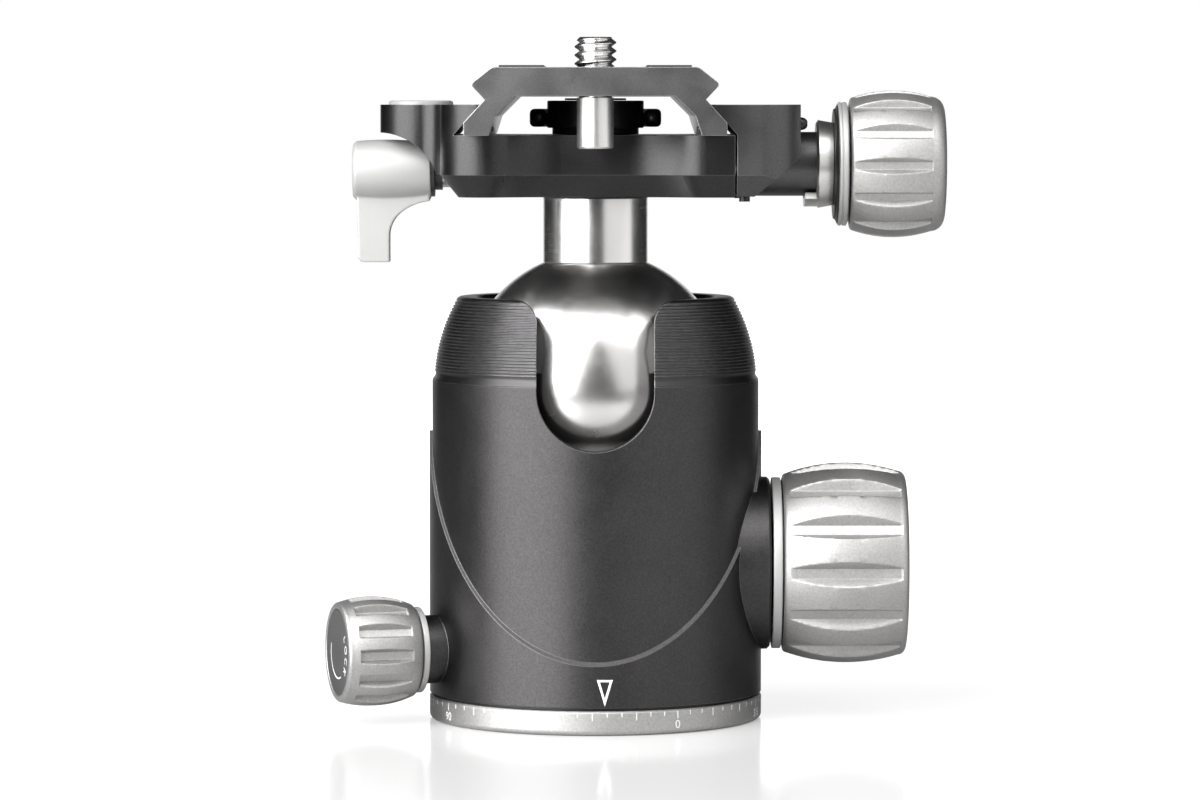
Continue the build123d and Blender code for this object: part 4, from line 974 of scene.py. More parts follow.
@dataclass(frozen=True)
class Flutes:
    """Finger grooves of a grip: straight flat floors with sloping sides, cut along the axis.

    The grip is crowned, so each straight groove is deep in the middle and runs out to nothing at its ends. Radii are
    distances from the grip's axis, and the top is the groove's mouth at the crown.
    """

    floor_r: float
    floor_w: float
    top_w: float
    crown_r: float
    start: float
    end: float
    count: int = 13
    side_faces: int = 6
    land_faces: int = 5

    def radius(self, turn: float, along: float) -> float:
        """Radius that the grooves leave at an angle and a distance along the axis.

        Args:
            turn: The angle.
            along: The distance in millimetres.

        Returns:
            The radius in millimetres, or NO_GROOVE between grooves.
        """
        if not self.start <= along <= self.end:
            return NO_GROOVE
        step = 2 * pi / self.count
        angle = abs((turn + step / 2) % step - step / 2)
        if self.floor_r * tan(angle) <= self.floor_w / 2:
            return self.floor_r / cos(angle)
        lean = (self.top_w - self.floor_w) / 2 / (self.crown_r - self.floor_r)
        room = lean * cos(angle) - sin(angle)
        return (lean * self.floor_r - self.floor_w / 2) / room if room > 0 else NO_GROOVE

    def angles(self) -> list[float]:
        """Angles that follow the grooves' edges, so that they stay crisp.

        Returns:
            The angles round one turn, in order.
        """
        step = 2 * pi / self.count
        floor = atan2(self.floor_w / 2, self.floor_r)
        rim = atan2(self.top_w / 2, self.crown_r)
        sides = [floor + (rim - floor) * k / self.side_faces for k in range(self.side_faces + 1)]
        groove = [-a for a in reversed(sides)] + [0.0] + sides
        land = [rim + (step - 2 * rim) * k / self.land_faces for k in range(1, self.land_faces)]
        return [i * step + a for i in range(self.count) for a in [*groove, *land]]


@dataclass(frozen=True)
class Grip:
    """A crowned, fluted grip with a rounded rim and a dished end. Its reach along its axis comes from its node.

    Attributes:
        r0: Radius at the inner end.
        r_max: Radius at the crown.
        r1: Radius where the outer rim's rounding starts.
        crown: Distance of the crown along the axis.
        rim: Radius of the outer rim's rounding.
        flutes: Its finger grooves.
        dish_r: Radius of the recess for the end cap.
        dish_depth: Depth of that recess.
        bore_r: Radius of the bore for the shaft.
        stations: Rows of faces along the crown.
        lean_deg: Turn of the groove that faces the front, about the axis.
        lip: Width of the softened inner edge.
        step: Run over which a groove's end wall rises.
        rim_turns: Angles of the points on the rim's rounding, in degrees.
    """

    r0: float
    r_max: float
    r1: float
    crown: float
    rim: float
    flutes: Flutes
    dish_r: float
    dish_depth: float
    bore_r: float = 3.05
    stations: int = 60
    lean_deg: float = 0.0
    lip: float = 0.25
    step: float = 0.02
    rim_turns: tuple[int, ...] = tuple(range(12, 91, 13))

    def _profile(self, start: float, end: float) -> list[Point2]:
        """The grip's half section without its grooves, as distance along the axis and radius.

        Args:
            start: Where the grip starts along its axis.
            end: Where it ends.

        Returns:
            The section as a closed ring.
        """
        low, run = start + self.lip, end - self.rim
        crown = ((low, self.r0), (self.crown, self.r_max), (run, self.r1))
        points = [(start, self.bore_r), (start, self.r0 - 2 * self.lip)]
        points += [(start + self.lip * 0.3, self.r0 - self.lip * 0.8)]
        inner = [low + (run - low) * k / self.stations for k in range(self.stations + 1)]
        edges = [self.flutes.start - self.step, self.flutes.start, self.flutes.end, self.flutes.end + self.step]
        points += [(x, bulge(crown, x)) for x in sorted(inner + edges) if low <= x <= run]
        for turn in map(radians, self.rim_turns):
            points.append((run + self.rim * sin(turn), self.r1 - self.rim * (1 - cos(turn))))
        points += [(end, self.dish_r + self.lip / 2), (end - self.lip / 2, self.dish_r)]
        return points + [(end - self.dish_depth, self.dish_r), (end - self.dish_depth, self.bore_r)]

    def build(self, shop: Workshop, part: str, spindle: Spindle) -> None:
        """Builds the grip as the piece that stands for the knob's node.

        Args:
            shop: Workshop that places it.
            part: First word of the names of the knob's pieces.
            spindle: Its axis.
        """
        knob = f"{part}_knob"
        start, end, _ = shop.reach(knob, spindle)
        place = spindle.matrix()
        front = place.inverted().to_3x3() @ Vector((0.0, -1.0, 0.0))
        place = place @ Matrix.Rotation(atan2(front.y, front.x) + radians(self.lean_deg), 4, "Z")
        turns = self.flutes.angles()
        rows = []
        for along, radius in self._profile(start, end):
            fluted = radius > self.dish_r + self.lip
            left = [min(radius, self.flutes.radius(turn, along)) if fluted else radius for turn in turns]
            rows.append([place @ polar(r, turn, along) for r, turn in zip(left, turns)])
        shop.place(shell(f"{part}_grip", rows, wrap=True), f"{part}_grip", knob, SILVER, knob)


@dataclass
class Knob:
    """A knob with its fluted grip, its ring and its dished end cap."""

    part: str
    spindle: Spindle
    grip: Grip
    ring_edge: float
    cap_rim: float
    cap_edge: float
    cap_dish: float = 0.18
    segments: int = 192
    cap_segments: int = 192

    def ring_profile(self, start: float, end: float, radius: float) -> list[Point2]:
        """Half section of the knob's ring.

        Args:
            start: Where it starts along the axis.
            end: Where it ends.
            radius: Its radius.

        Returns:
            The section as a closed ring.
        """
        return ring_section(start, end, self.grip.bore_r, radius, self.ring_edge)

    def trim(self, shop: Workshop, start: float, end: float) -> None:
        """Builds what goes with the ring, between its start and its end along the axis; a plain knob has nothing
        there, so this builds nothing.
        """

    def build(self, shop: Workshop) -> None:
        """Builds the knob.

        Args:
            shop: Workshop that places the pieces.
        """
        knob, part = f"{self.part}_knob", self.part
        self.grip.build(shop, part, self.spindle)
        start, end, radius = shop.reach(f"{knob}_ring", self.spindle)
        ring, segments = self.ring_profile(start, end, radius), self.segments
        shop.turn(f"{part}_ring", knob, SILVER_LIGHT, ring, self.spindle, f"{knob}_ring", segments=segments)
        self.trim(shop, start, end)
        start, end, radius = shop.reach(f"{knob}_cap", self.spindle)
        floor = end - self.cap_dish
        section = [(start, 0.0), (start, radius), (end, radius), (floor, radius - self.cap_rim), (floor, 0.0)]
        cap, segments = rounded(section, self.cap_edge), self.cap_segments
        shop.turn(f"{part}_cap", knob, CAP_GREY, cap, self.spindle, f"{knob}_cap", segments=segments)
        shop.keep(FASTENER_STEEL, f"{part}_screw")


@dataclass
class LockKnob(Knob):
    """The large knob that locks the ball, with a black washer on its ring."""

    part: str = "lock"
    spindle: Spindle = across(0.0, 23.3)
    grip: Grip = Grip(
        r0=13.4, r_max=15.1, r1=13.9, crown=37.0, rim=1.2, dish_r=10.45, dish_depth=0.9, bore_r=4.05, lean_deg=2.0,
        flutes=Flutes(floor_r=13.62, floor_w=1.5, top_w=3.9, crown_r=15.1, start=28.95, end=45.5),
    )
    ring_edge: float = 0.2
    cap_rim: float = 1.4
    cap_edge: float = 0.15
    washer_r: float = 12.4
    washer_t: float = 0.22
    washer_edge: float = 0.05

    def trim(self, shop: Workshop, start: float, end: float) -> None:
        """Builds the washer at the ring's end and dresses the bolt.

        Args:
            shop: Workshop that places it.
            start: Where the ring starts along the axis. Not used.
            end: Where it ends.
        """
        washer = ring_section(end, end + self.washer_t, self.grip.bore_r, self.washer_r, self.washer_edge)
        shop.turn("lock_washer", "lock_knob", BLACK_PLASTIC, washer, self.spindle)
        shop.keep(BLACK_OXIDE, "lock_knob_bolt")


@dataclass
class LockLabel:
    """The word LOCK and an arc on the end disc of the pan knob."""

    radius: float = 4.1
    letter_h: float = 1.2
    letter_step: float = 21.0
    first: float = -150.0
    arc_r: float = 3.9
    arc_w: float = 0.22
    arc_from: float = 75.0
    arc_to: float = 205.0
    arc_steps: int = 48
    lift: float = 0.015
    sink: float = 0.02

    def build(self, shop: Workshop, spindle: Spindle, face: float) -> None:
        """Builds the letters and the arc.

        Args:
            shop: Workshop that places them.
            spindle: The knob's axis.
            face: Where the disc's face lies along the axis.
        """
        place = spindle.matrix() @ Matrix.Translation((0, 0, (face - self.sink) * MM))
        thickness = self.sink + self.lift
        meshes = []
        for k, letter in enumerate("LOCK"):
            turn = self.first - k * self.letter_step
            stand = Matrix.Rotation(radians(turn), 4, "Z") @ Matrix.Translation((0, self.radius * MM, 0))
            meshes.append(text_mesh(letter, self.letter_h, thickness, place @ stand))
        band = arc((0, 0), self.arc_r - self.arc_w / 2, self.arc_from, self.arc_to, self.arc_steps)
        band += arc((0, 0), self.arc_r + self.arc_w / 2, self.arc_to, self.arc_from, self.arc_steps)
        meshes.append(slab("lock_arc", band, thickness, place))
        shop.place(merged("lock_label", meshes), "lock_label", "pan_knob", WHITE_PAINT)


@dataclass
class PanKnob(Knob):
    """The small knob that locks the base's pan, with a label on its end disc."""

    part: str = "pan"
    spindle: Spindle = Spindle((0.0, 0.0, 11.0), (-cos(PAN_KNOB_TURN), -sin(PAN_KNOB_TURN), 0.0))
    grip: Grip = Grip(
        r0=6.9, r_max=8.15, r1=7.5, crown=34.3, rim=0.6, dish_r=6.45, dish_depth=0.8, stations=48,
        flutes=Flutes(floor_r=7.0, floor_w=1.15, top_w=2.3, crown_r=8.15, start=30.5, end=38.6),
    )
    ring_edge: float = 0.12
    cap_rim: float = 0.5
    cap_edge: float = 0.1
    cap_dish: float = 0.08
    segments: int = 128
    cap_segments: int = 128
    label: LockLabel = field(default_factory=LockLabel)

    def build(self, shop: Workshop) -> None:
        """Builds the knob and its label."""
        super().build(shop)
        self.label.build(shop, self.spindle, shop.reach("pan_knob_cap", self.spindle)[1] - self.cap_dish)


@dataclass
class ClampKnob(Knob):
    """The knob that opens and closes the jaw, with a beaded ring and a black cone inside it."""

    part: str = "clamp"
    spindle: Spindle = across(0.0, 83.4)
    grip: Grip = Grip(
        r0=9.9, r_max=11.0, r1=10.1, crown=45.1, rim=2.0, dish_r=7.65, dish_depth=0.9, stations=52, lean_deg=1.0,
        flutes=Flutes(floor_r=9.95, floor_w=1.15, top_w=2.5, crown_r=11.0, start=38.5, end=50.1),
    )
    ring_edge: float = 0.08
    cap_rim: float = 1.0
    cap_edge: float = 0.12
    cap_segments: int = 144
    bead: Profile = ((0.6, 9.05), (0.75, 9.25), (1.05, 9.3), (1.2, 9.1), (1.4, 9.28), (1.9, 9.28), (2.1, 8.8))
    cone: Profile = ((0.0, 8.2), (0.25, 8.35), (0.55, 8.95), (0.55, 3.05))

    def ring_profile(self, start: float, end: float, radius: float) -> list[Point2]:
        """Half section of the beaded ring.

        Args:
            start: Where it starts along the axis.
            end: Where it ends.
            radius: Its radius, which the beads replace. Not used.

        Returns:
            The section as a closed ring.
        """
        bore = self.grip.bore_r
        beads = [(start + x, r) for x, r in self.bead]
        return rounded([(start + self.bead[0][0], bore), *beads, (end, bore)], self.ring_edge, closed=True)

    def trim(self, shop: Workshop, start: float, end: float) -> None:
        """Builds the cone and dresses the bolt.

        Args:
            shop: Workshop that places it.
            start: Where the ring starts along the axis.
            end: Where it ends. Not used.
        """
        section = [(start, self.grip.bore_r), *[(start + x, r) for x, r in self.cone]]
        shop.turn("clamp_cone", "clamp_knob", BLACK_PLASTIC, section, self.spindle)
        shop.keep(BLACK_OXIDE, "clamp_knob_bolt")


# -------------------- Ball, clamp and plate --------------------


@dataclass
class BallAndNeck:
    """The ball, its bright neck sleeve and the disc that the clamp turns on."""

    ball_r: float = 20.0
    ball_z: float = 50.2
    flat_z: float = 68.6
    bolt_r: float = 3.05
    bolt_floor: float = 57.3
    neck_r: float = 7.85
    neck_top: float = 78.6
    neck_edge: float = 0.3
    foot: Profile = ((0.0, 7.6), (0.12, 7.85), (0.35, 7.85))
    arc_steps: int = 150
    segments: int = 256

    def build(self, shop: Workshop) -> None:
        """Builds the ball and the neck with fine meshes.

        Args:
            shop: Workshop that places them.
        """
        low, high, bore, centre = self.flat_z, self.neck_top, self.bolt_r, self.ball_z
        top = degrees(acos((low - centre) / self.ball_r))
        turns = [radians(180 - (180 - top) * k / self.arc_steps) for k in range(1, self.arc_steps + 1)]
        ball = [(centre - self.ball_r, 0.0)]
        ball += [(centre + self.ball_r * cos(turn), self.ball_r * sin(turn)) for turn in turns]
        ball += [(low, bore), (self.bolt_floor, bore), (self.bolt_floor, 0.0)]
        shop.turn("ball_sphere", "ball", BALL_STEEL, ball, upright(), "ball", segments=self.segments)
        sleeve = [(low, bore), *[(low + x, r) for x, r in self.foot]]
        sleeve += [(high - self.neck_edge, self.neck_r), (high, self.neck_r - self.neck_edge), (high, bore)]
        shop.turn("neck_sleeve", "ball", BRIGHT_STEEL, sleeve, upright(), "neck", segments=self.segments)
        shop.keep(FASTENER_STEEL, "pan_disc")
        shop.keep(BLACK_OXIDE, "neck_bolt")


@dataclass
class Clamp:
    """The clamp body, its moving jaw and the small screws on it."""

    screw_x: float = 30.25
    screw_y: float = 7.0
    screw_z: float = 89.45
    dome: Profile = (
        (-3.7, 0.0), (-3.7, 0.6), (0.0, 0.6), (0.0, 0.97), (0.5, 0.95), (0.9, 0.83), (1.18, 0.6), (1.33, 0.3),
        (1.35, 0.0),
    )
    socket_r: float = 0.42
    socket_depth: float = 0.6
    over: float = 0.4
    segments: int = 48

    def _screw(self, side: int) -> Mesh:
        """Builds one button-head screw with its hexagon socket.

        Args:
            side: 1 for the screw at the back and -1 for the one at the front.

        Returns:
            The screw.
        """
        spindle = across(side * self.screw_y, self.screw_z)
        screw = lathe("screw", [(self.screw_x + x, r) for x, r in self.dome], spindle, self.segments)
        corners = [radians(60 * k + 30) for k in range(6)]
        outline = [(self.socket_r * cos(turn), self.socket_r * sin(turn)) for turn in corners]
        floor = self.screw_x + self.dome[-1][0] - self.socket_depth
        place = spindle.matrix() @ Matrix.Translation((0, 0, floor * MM))
        return cut(screw, slab("socket_tool", outline, self.socket_depth + self.over, place))

    def build(self, shop: Workshop) -> None:
        """Dresses the body and the jaw and builds the button-head screws.

        Args:
            shop: Workshop that places the pieces.
        """
        shop.keep(BLACK_ANODISED, "clamp_body")
        shop.keep(PAINTED_LIGHT_JAW_ANODISED, "moving_jaw")
        shop.keep(FASTENER_STEEL, "jaw_spring", "guide_pins")
        shop.keep(BLACK_OXIDE, "jaw_set_screws")
        screws = merged("jaw_button_heads", [self._screw(side) for side in (-1, 1)])
        shop.place(screws, "jaw_button_heads", "jaw", BLACK_OXIDE, "jaw_cover_screws")
        shop.keep(BRUSHED_STEEL, "knob_flange")


@dataclass
class BubbleLevel:
    """The round level on the clamp's ear."""

    x: float = -26.2
    bezel: Profile = (
        (89.3, 0.0), (89.3, 4.85), (92.55, 4.85), (92.8, 4.73), (92.9, 4.45), (92.8, 4.13), (89.8, 4.05), (89.8, 0.0),
    )
    circle: Profile = ((91.42, 1.75), (91.42, 1.95), (91.5, 1.95), (91.5, 1.75))
    bezel_segments: int = 128
    circle_segments: int = 96

    def build(self, shop: Workshop) -> None:
        """Builds the bezel and the ring round the bubble, and dresses the fluid, the window and the bubble.

        Args:
            shop: Workshop that places the pieces.
        """
        spindle = upright(self.x)
        segments = self.bezel_segments
        shop.turn("level_ring", "clamp", LEVEL_PLASTIC, self.bezel, spindle, "level_bezel", segments=segments)
        shop.keep(shop.finishes.fluid(), "level_fluid")
        shop.keep(shop.finishes.lens(), "level_lens")
        shop.keep(WHITE_PAINT, "level_bubble")
        shop.turn("level_circle", "clamp", BLACK_PLASTIC, self.circle, spindle, segments=self.circle_segments)


@dataclass
class Lever:
    """The cast lever that locks the clamp's pan."""

    voxel: float = 0.14
    soften: float = 0.5
    soften_rounds: int = 3

    def build(self, shop: Workshop) -> None:
        """Builds the lever with softened edges, and dresses its screw, its washer and the shoe.

        Args:
            shop: Workshop that places the pieces.
        """
        holder = linked("lever_holder", shop.node("lever").data.copy())
        holder.modifiers.new("weld", "WELD").merge_threshold = NODE_WELD * MM
        remesh = holder.modifiers.new("remesh", "REMESH")
        remesh.mode = "VOXEL"
        remesh.voxel_size = self.voxel * MM
        soften = holder.modifiers.new("soften", "SMOOTH")
        soften.factor = self.soften
        soften.iterations = self.soften_rounds
        mesh = taken(holder)
        shop.place(mesh, "lever_cast", "lever", LEVER_CAST, "lever")
        mesh.shade_smooth()
        shop.keep(FASTENER_STEEL, "lever_screw")
        shop.keep(BLACK_PLASTIC, "lever_washer")
        shop.keep(ACETAL, "clamp_shoe")


@dataclass
class FoldingRing:
    """The folded half ring that turns the camera screw by hand, with rounded ends, and its two pivots."""

    inner: float = 7.42
    outer: float = 9.88
    low: float = 88.95
    high: float = 91.68
    front: float = -1.98  # Where its ends stand along y.
    corner: float = 0.85
    corner_steps: int = 6
    tip: float = 1.3
    tip_steps: int = 16  # Steps in half a turn of a rounded tip.
    tip_gap: float = 0.004  # Share of a tip that is left out, so that it closes with a small face.
    steps: int = 90
    pivot: Profile = ((6.2, 0.0), (6.2, 0.7), (6.3, 0.78), (7.6, 0.78), (7.6, 0.0))
    pivot_segments: int = 24

    def _bow(self) -> Mesh:
        """Builds the half ring.

        Returns:
            The half ring with its rounded ends.
        """
        middle, mid_z = (self.inner + self.outer) / 2, (self.low + self.high) / 2
        half_r, half_z = (self.outer - self.inner) / 2, (self.high - self.low) / 2
        box = [(-half_r, -half_z), (half_r, -half_z), (half_r, half_z), (-half_r, half_z)]
        section = rounded(box, self.corner, steps=self.corner_steps, closed=True)
        start = asin(self.front / middle)
        sweep = pi - 2 * start
        tip = self.tip / middle
        bends = [tip * (1 - cos(pi * k / self.tip_steps)) for k in range(1, self.tip_steps // 2)]
        body = [tip + (sweep - 2 * tip) * k / self.steps for k in range(self.steps + 1)]
        gap = tip * self.tip_gap
        rows = []
        for along in [gap, *bends, *body, *(sweep - bend for bend in reversed(bends)), sweep - gap]:
            short = max(0.0, 1.0 - min(along, sweep - along) / tip)
            scale = sqrt(max(0.0, 1.0 - short * short))
            rows.append([polar(middle + out * scale, start + along, mid_z + up * scale) for out, up in section])
        return shell("bow", rows)

    def build(self, shop: Workshop) -> None:
        """Builds the half ring and its pivots.

        Args:
            shop: Workshop that places them.
        """
        mid_z = (self.low + self.high) / 2
        pivots = [lathe("pivot", self.pivot, across(0.0, mid_z, side), self.pivot_segments) for side in (-1.0, 1.0)]
        handle = merged("screw_handle", [self._bow(), *pivots])
        shop.place(handle, "screw_handle", "camera_screw", BLACK_OXIDE, "d_ring")


@dataclass
class CameraScrew:
    """The 1/4 inch screw that holds the camera: a real helical thread on a black head with a folding ring."""

    major_r: float = 3.175
    minor_r: float = 2.5
    pitch: float = 1.27
    flank: float = 2.6  # Rise of a flank, in depths per pitch.
    root: float = 0.16
    thread_low: float = 97.85
    run_in: float = 0.4  # Plain shaft below the thread.
    run_out: float = 2.0  # Rise of the thread's depth at its start.
    tip: float = 102.42
    chamfer: float = 0.8
    segments: int = 96
    per_turn: int = 16  # Pairs of rows in a turn.
    head: Profile = (
        (87.85, 0.0), (87.85, 6.4), (87.95, 6.5), (88.8, 6.5), (88.8, 7.15), (88.9, 7.25), (92.75, 7.25), (92.9, 7.1),
    )
    shank_top: float = 97.6
    head_segments: int = 160
    ring: FoldingRing = field(default_factory=FoldingRing)

    def _radius(self, z: float, turn: float) -> float:
        """Radius of the thread.

        Args:
            z: Height in millimetres.
            turn: Angle round the screw.

        Returns:
            The radius in millimetres.
        """
        if z <= self.thread_low:
            return self.minor_r
        phase = (z / self.pitch - turn / (2 * pi)) % 1.0
        ridge = min(1.0, max(0.0, self.flank * abs(phase - 0.5) - self.root))
        thread = self.minor_r + (self.major_r - self.minor_r) * ridge
        lead = self.major_r - max(0.0, z - (self.tip - self.chamfer))
        return min(thread, lead, self.minor_r + max(0.0, z - self.thread_low) * self.run_out)

    def _thread(self) -> Mesh:
        """Builds the threaded end.

        Returns:
            The thread with a short plain shaft below it.
        """
        steps = int(ceil((self.tip - self.thread_low) / self.pitch * self.per_turn)) * 2
        turns = [2 * pi * k / self.segments for k in range(self.segments)]
        rows = []
        for i in range(steps + 1):
            z = self.thread_low - self.run_in + (self.tip - self.thread_low + self.run_in) * i / steps
            rows.append([polar(self._radius(z, turn), turn, z) for turn in turns])
        return shell("camera_thread", rows)

    def build(self, shop: Workshop) -> None:
        """Builds the thread, the head and the folding ring, and dresses the clip.

        Args:
            shop: Workshop that places the pieces.
        """
        shop.place(self._thread(), "camera_thread", "camera_screw", BRIGHT_STEEL)
        shank = [(self.head[-1][0], self.minor_r), (self.shank_top, self.minor_r), (self.shank_top, 0.0)]
        profile, segments = [*self.head, *shank], self.head_segments
        shop.turn("camera_head", "camera_screw", BLACK_OXIDE, profile, upright(), "camera_screw", segments=segments)
        shop.keep(BLACK_OXIDE, "screw_clip")
        self.ring.build(shop)


@dataclass
class QuickPlate:
    """The quick plate with its rubber pads, its stop pins and the small studs on its front feet."""

    pin_y: float = 26.5
    pin: Profile = (
        (85.9, 0.0), (85.9, 2.4), (86.15, 2.65), (93.32, 2.65), (93.32, 1.5), (96.22, 1.5), (96.22, 0.0),
    )
    pin_segments: int = 96
    stud_y: float = -26.0
    stud_z: float = 88.75
    stud: Profile = ((16.2, 0.0), (16.2, 0.42), (14.95, 0.42), (14.75, 0.21), (14.75, 0.0))
    stud_segments: int = 24

    def build(self, shop: Workshop) -> None:
        """Dresses the plate and builds the stop pins and the studs.

        Args:
            shop: Workshop that places the pieces.
        """
        studs = [
            lathe("stud", self.stud, across(self.stud_y, self.stud_z, side), self.stud_segments)
            for side in (-1.0, 1.0)
        ]
        shop.place(merged("foot_studs", studs), "foot_studs", "plate", BLACK_OXIDE)
        shop.keep(GREY_PLATE, "plate")
        shop.keep(RUBBER, "plate_pads")
        pins = [lathe("stop_pin", self.pin, upright(0.0, side * self.pin_y), self.pin_segments) for side in (-1, 1)]
        shop.place(merged("stop_pins_turned", pins), "stop_pins_turned", "plate", BRUSHED_STEEL, "stop_pins")


# -------------------- Studio --------------------


@dataclass(frozen=True)
class Softbox:
    """A rectangular light that faces a point of the head.

    Attributes:
        name: Name of the light.
        azimuth: Where it stands, in degrees to the right of the camera's side.
        elevation: How high it stands, in degrees.
        width: Width in metres.
        height: Height in metres.
        radiance: Brightness of its face.
        distance: Distance from the head in metres.
    """

    name: str
    azimuth: float
    elevation: float
    width: float
    height: float
    radiance: float
    distance: float = 0.55

    def build(self, aim: Vector) -> None:
        """Places the light.

        Args:
            aim: The point that it faces.
        """
        a, e = radians(self.azimuth), radians(self.elevation)
        away = Vector((sin(a) * cos(e), -cos(a) * cos(e), sin(e)))
        data = bpy.data.lights.new(self.name, "AREA")
        data.shape = "RECTANGLE"
        data.size, data.size_y = self.width, self.height
        data.energy = self.radiance * pi * self.width * self.height
        light = linked(self.name, data)
        light.location = aim + away * self.distance
        light.rotation_mode = "QUATERNION"
        light.rotation_quaternion = (-away).to_track_quat("-Z", "Y")
        light.visible_camera = False


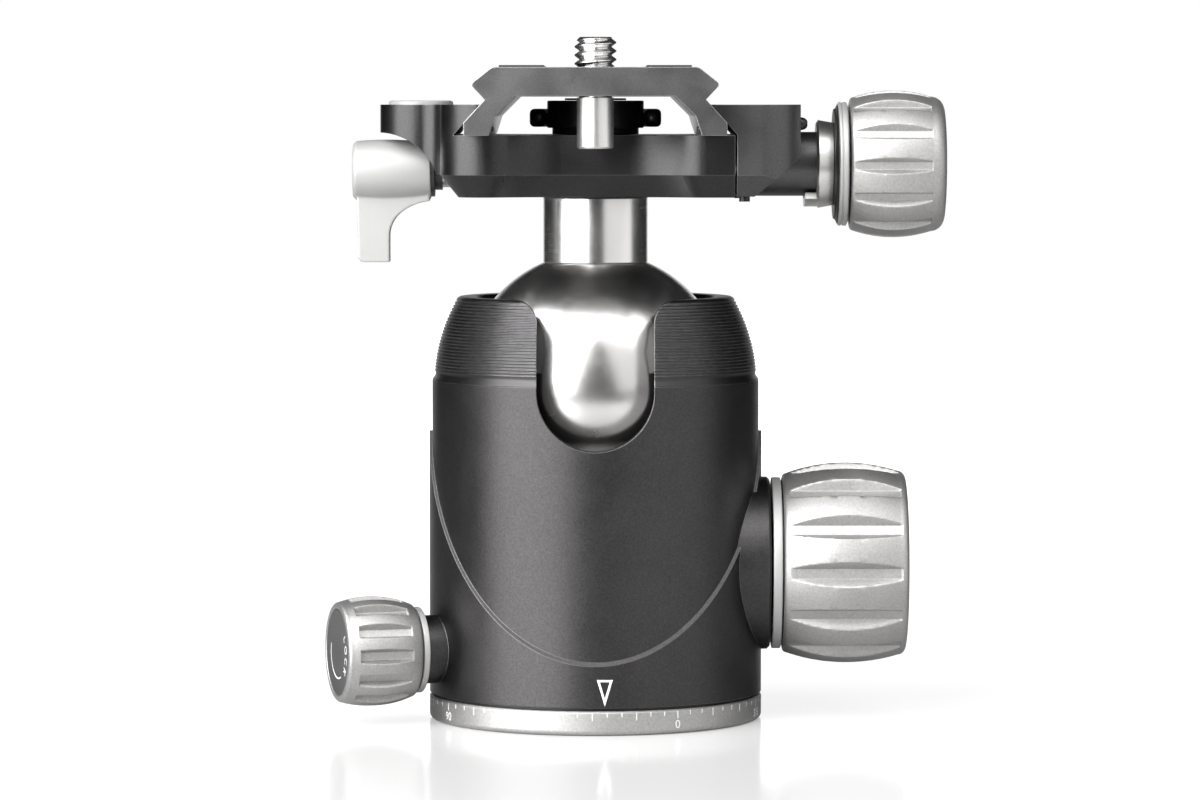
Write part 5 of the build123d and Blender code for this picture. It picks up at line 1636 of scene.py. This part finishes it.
@dataclass
class Studio:
    """Glossy white table, white paper behind it, soft lights and the camera."""

    boxes: tuple[Softbox, ...] = (
        Softbox("softbox_left", -47.0, 27.0, 0.66, 0.66, 6.8),
        Softbox("softbox_right", 52.5, 24.0, 0.82, 0.60, 1.10),
        Softbox("softbox_top", 0.0, 60.0, 0.82, 0.33, 2.7),
    )
    aim: Point3 = (0.0, 0.0, 0.05)
    camera_place: Point3 = (0.00068, -0.766, 0.0923)
    camera_pitch_deg: float = 3.32
    focal_mm: float = 152.8
    sensor_mm: float = 36.0
    world: float = 0.02  # Light of the surroundings, which the camera sees white.
    table_tone: float = 0.42
    table_rough: float = 0.13
    bounce_run: Point2 = (0.04, 0.2)  # Distances in front between which the table's glow that lights the head, a painted fill light, grows.
    table_bounce: Point2 = (0.0, 0.8)
    glow_run: Point2 = (0.07, 0.5)  # Distances all round between which the table that the camera sees grows from a painted shade near the head to white.
    table_glow: Point2 = (0.37, 1.0)
    table_front: float = -0.23
    table_z: float = -0.00002
    reach: float = 3.0
    paper_y: float = 1.6
    paper_low_h: float = 0.4
    paper_half: float = 0.7

    @staticmethod
    def _glowing(name: str, tone: float, rough: float) -> tuple[Material, NodeTree, Node]:
        """A new grey material that glows white.

        Args:
            name: Name of the material.
            tone: Its grey.
            rough: Its roughness.

        Returns:
            The material, its tree and its Principled shader.
        """
        material, tree, shader = blank_material(name)
        for label, value in (("Base Color", (tone,) * 3), ("Roughness", rough), ("Emission Color", WHITE)):
            tree.feed(value, shader.inputs[label])
        return material, tree, shader

    @staticmethod
    def _ramp(tree: NodeTree, distance: Socket, run: Point2, ends: Point2) -> Socket:
        """Smooth change of a value with distance from the head.

        Args:
            tree: Node tree that it goes in.
            distance: Distance in metres.
            run: Distances at which the change starts and ends.
            ends: The value at each.

        Returns:
            The value.
        """
        ramp = tree.add("ShaderNodeMapRange", interpolation_type="SMOOTHSTEP", in_Value=distance)
        ramp.inputs["From Min"].default_value, ramp.inputs["From Max"].default_value = run
        ramp.inputs["To Min"].default_value, ramp.inputs["To Max"].default_value = ends
        return ramp.outputs["Result"]

    def _table_material(self) -> Material:
        """Glossy white table top that glows as painted light: towards the front it glows to light the head, and the
        glow that the camera sees is dimmer near the head as a painted shade.

        Returns:
            The material.
        """
        material, tree, shader = self._glowing("white_table", self.table_tone, self.table_rough)
        place = tree.add("ShaderNodeTexCoord").outputs["Object"]
        away = tree.add("ShaderNodeVectorMath", operation="LENGTH", in_0=place).outputs["Value"]
        front = tree.math("MULTIPLY", tree.add("ShaderNodeSeparateXYZ", in_0=place).outputs["Y"], -1.0)
        # Painted fill light: the table glows more towards the front and lights the head, though it is no lamp.
        light = self._ramp(tree, front, self.bounce_run, self.table_bounce)
        # Painted shade: the table that the camera sees glows less near the head.
        glow = self._ramp(tree, away, self.glow_run, self.table_glow)
        seen = tree.add("ShaderNodeLightPath").outputs["Is Camera Ray"]
        tree.feed(tree.blend(seen, light, glow), shader.inputs["Emission Strength"])
        return material

    def _paper_material(self) -> Material:
        """Evenly lit white paper behind the head."""
        material, _, shader = self._glowing("white_paper", 0.0, 1.0)
        shader.inputs["Emission Strength"].default_value = 1.0
        return material

    @staticmethod
    def _sheet(name: str, corners: Sequence[Point3], material: Material) -> Object:
        """Builds a flat sheet of the studio.

        Args:
            name: Name of the sheet.
            corners: Its corners in metres.
            material: Its material.

        Returns:
            The new object.
        """
        mesh = bpy.data.meshes.new(name)
        mesh.from_pydata(corners, [], [(0, 1, 2, 3)])
        mesh.materials.append(material)
        sheet = linked(name, mesh)
        return sheet

    def _table_and_paper(self) -> None:
        """Builds the table and the strips of paper."""
        half, low, front, y, near = self.reach, self.table_z, self.table_front, self.paper_y, self.paper_half
        corners = [(-half, front, low), (half, front, low), (half, half, low), (-half, half, low)]
        self._sheet("table", corners, self._table_material())
        paper = self._paper_material()
        strips = (
            ("paper_low", -near, near, low, self.paper_low_h),
            ("paper_high", -half, half, self.paper_low_h, half),
            ("paper_left", -half, -near, low, self.paper_low_h),
            ("paper_right", near, half, low, self.paper_low_h),
        )
        for name, x0, x1, z0, z1 in strips:
            back = self._sheet(name, [(x0, y, z0), (x1, y, z0), (x1, y, z1), (x0, y, z1)], paper)
            back.visible_glossy = name == "paper_low"
            back.visible_diffuse = False
            back.visible_shadow = False

    def _world(self) -> World:
        """Surroundings that the camera sees white and that light the head faintly.

        Returns:
            The world.
        """
        world = bpy.data.worlds.new("studio")
        world.use_nodes = True
        tree = NodeTree(world.node_tree)
        sky = world.node_tree.nodes["Background"]
        tree.feed(WHITE, sky.inputs[0])
        seen = tree.add("ShaderNodeLightPath").outputs["Is Camera Ray"]
        level = tree.add("ShaderNodeMapRange", in_Value=seen, in_To_Min=self.world, in_To_Max=1.0)
        tree.feed(level.outputs["Result"], sky.inputs[1])
        return world

    def build(self) -> None:
        """Builds the table, the paper, the lights, the surroundings and the camera."""
        self._table_and_paper()
        for box in self.boxes:
            box.build(Vector(self.aim))
        scene = bpy.context.scene
        scene.world = self._world()
        scene.view_settings.view_transform = "Standard"
        data = bpy.data.cameras.new("camera")
        data.sensor_width = self.sensor_mm
        data.lens = self.focal_mm
        camera = linked("camera", data)
        camera.location = self.camera_place
        camera.rotation_euler = (radians(90 - self.camera_pitch_deg), 0.0, 0.0)
        scene.camera = camera


def main() -> None:
    """Builds the head's looks round its frame, then the studio."""
    logging.basicConfig(level=logging.INFO, format="%(message)s")
    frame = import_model()
    shop = Workshop(frame, FinishShop())
    assemblies: list[object] = [
        Base(), Housing(), LockKnob(), PanKnob(), BallAndNeck(), Clamp(), BubbleLevel(), Lever(), ClampKnob(),
        CameraScrew(), QuickPlate(),
    ]
    for assembly in assemblies:
        assembly.build(shop)
        LOG.info("built %s", type(assembly).__name__)
    Studio().build()


if __name__ == "__main__":
    main()
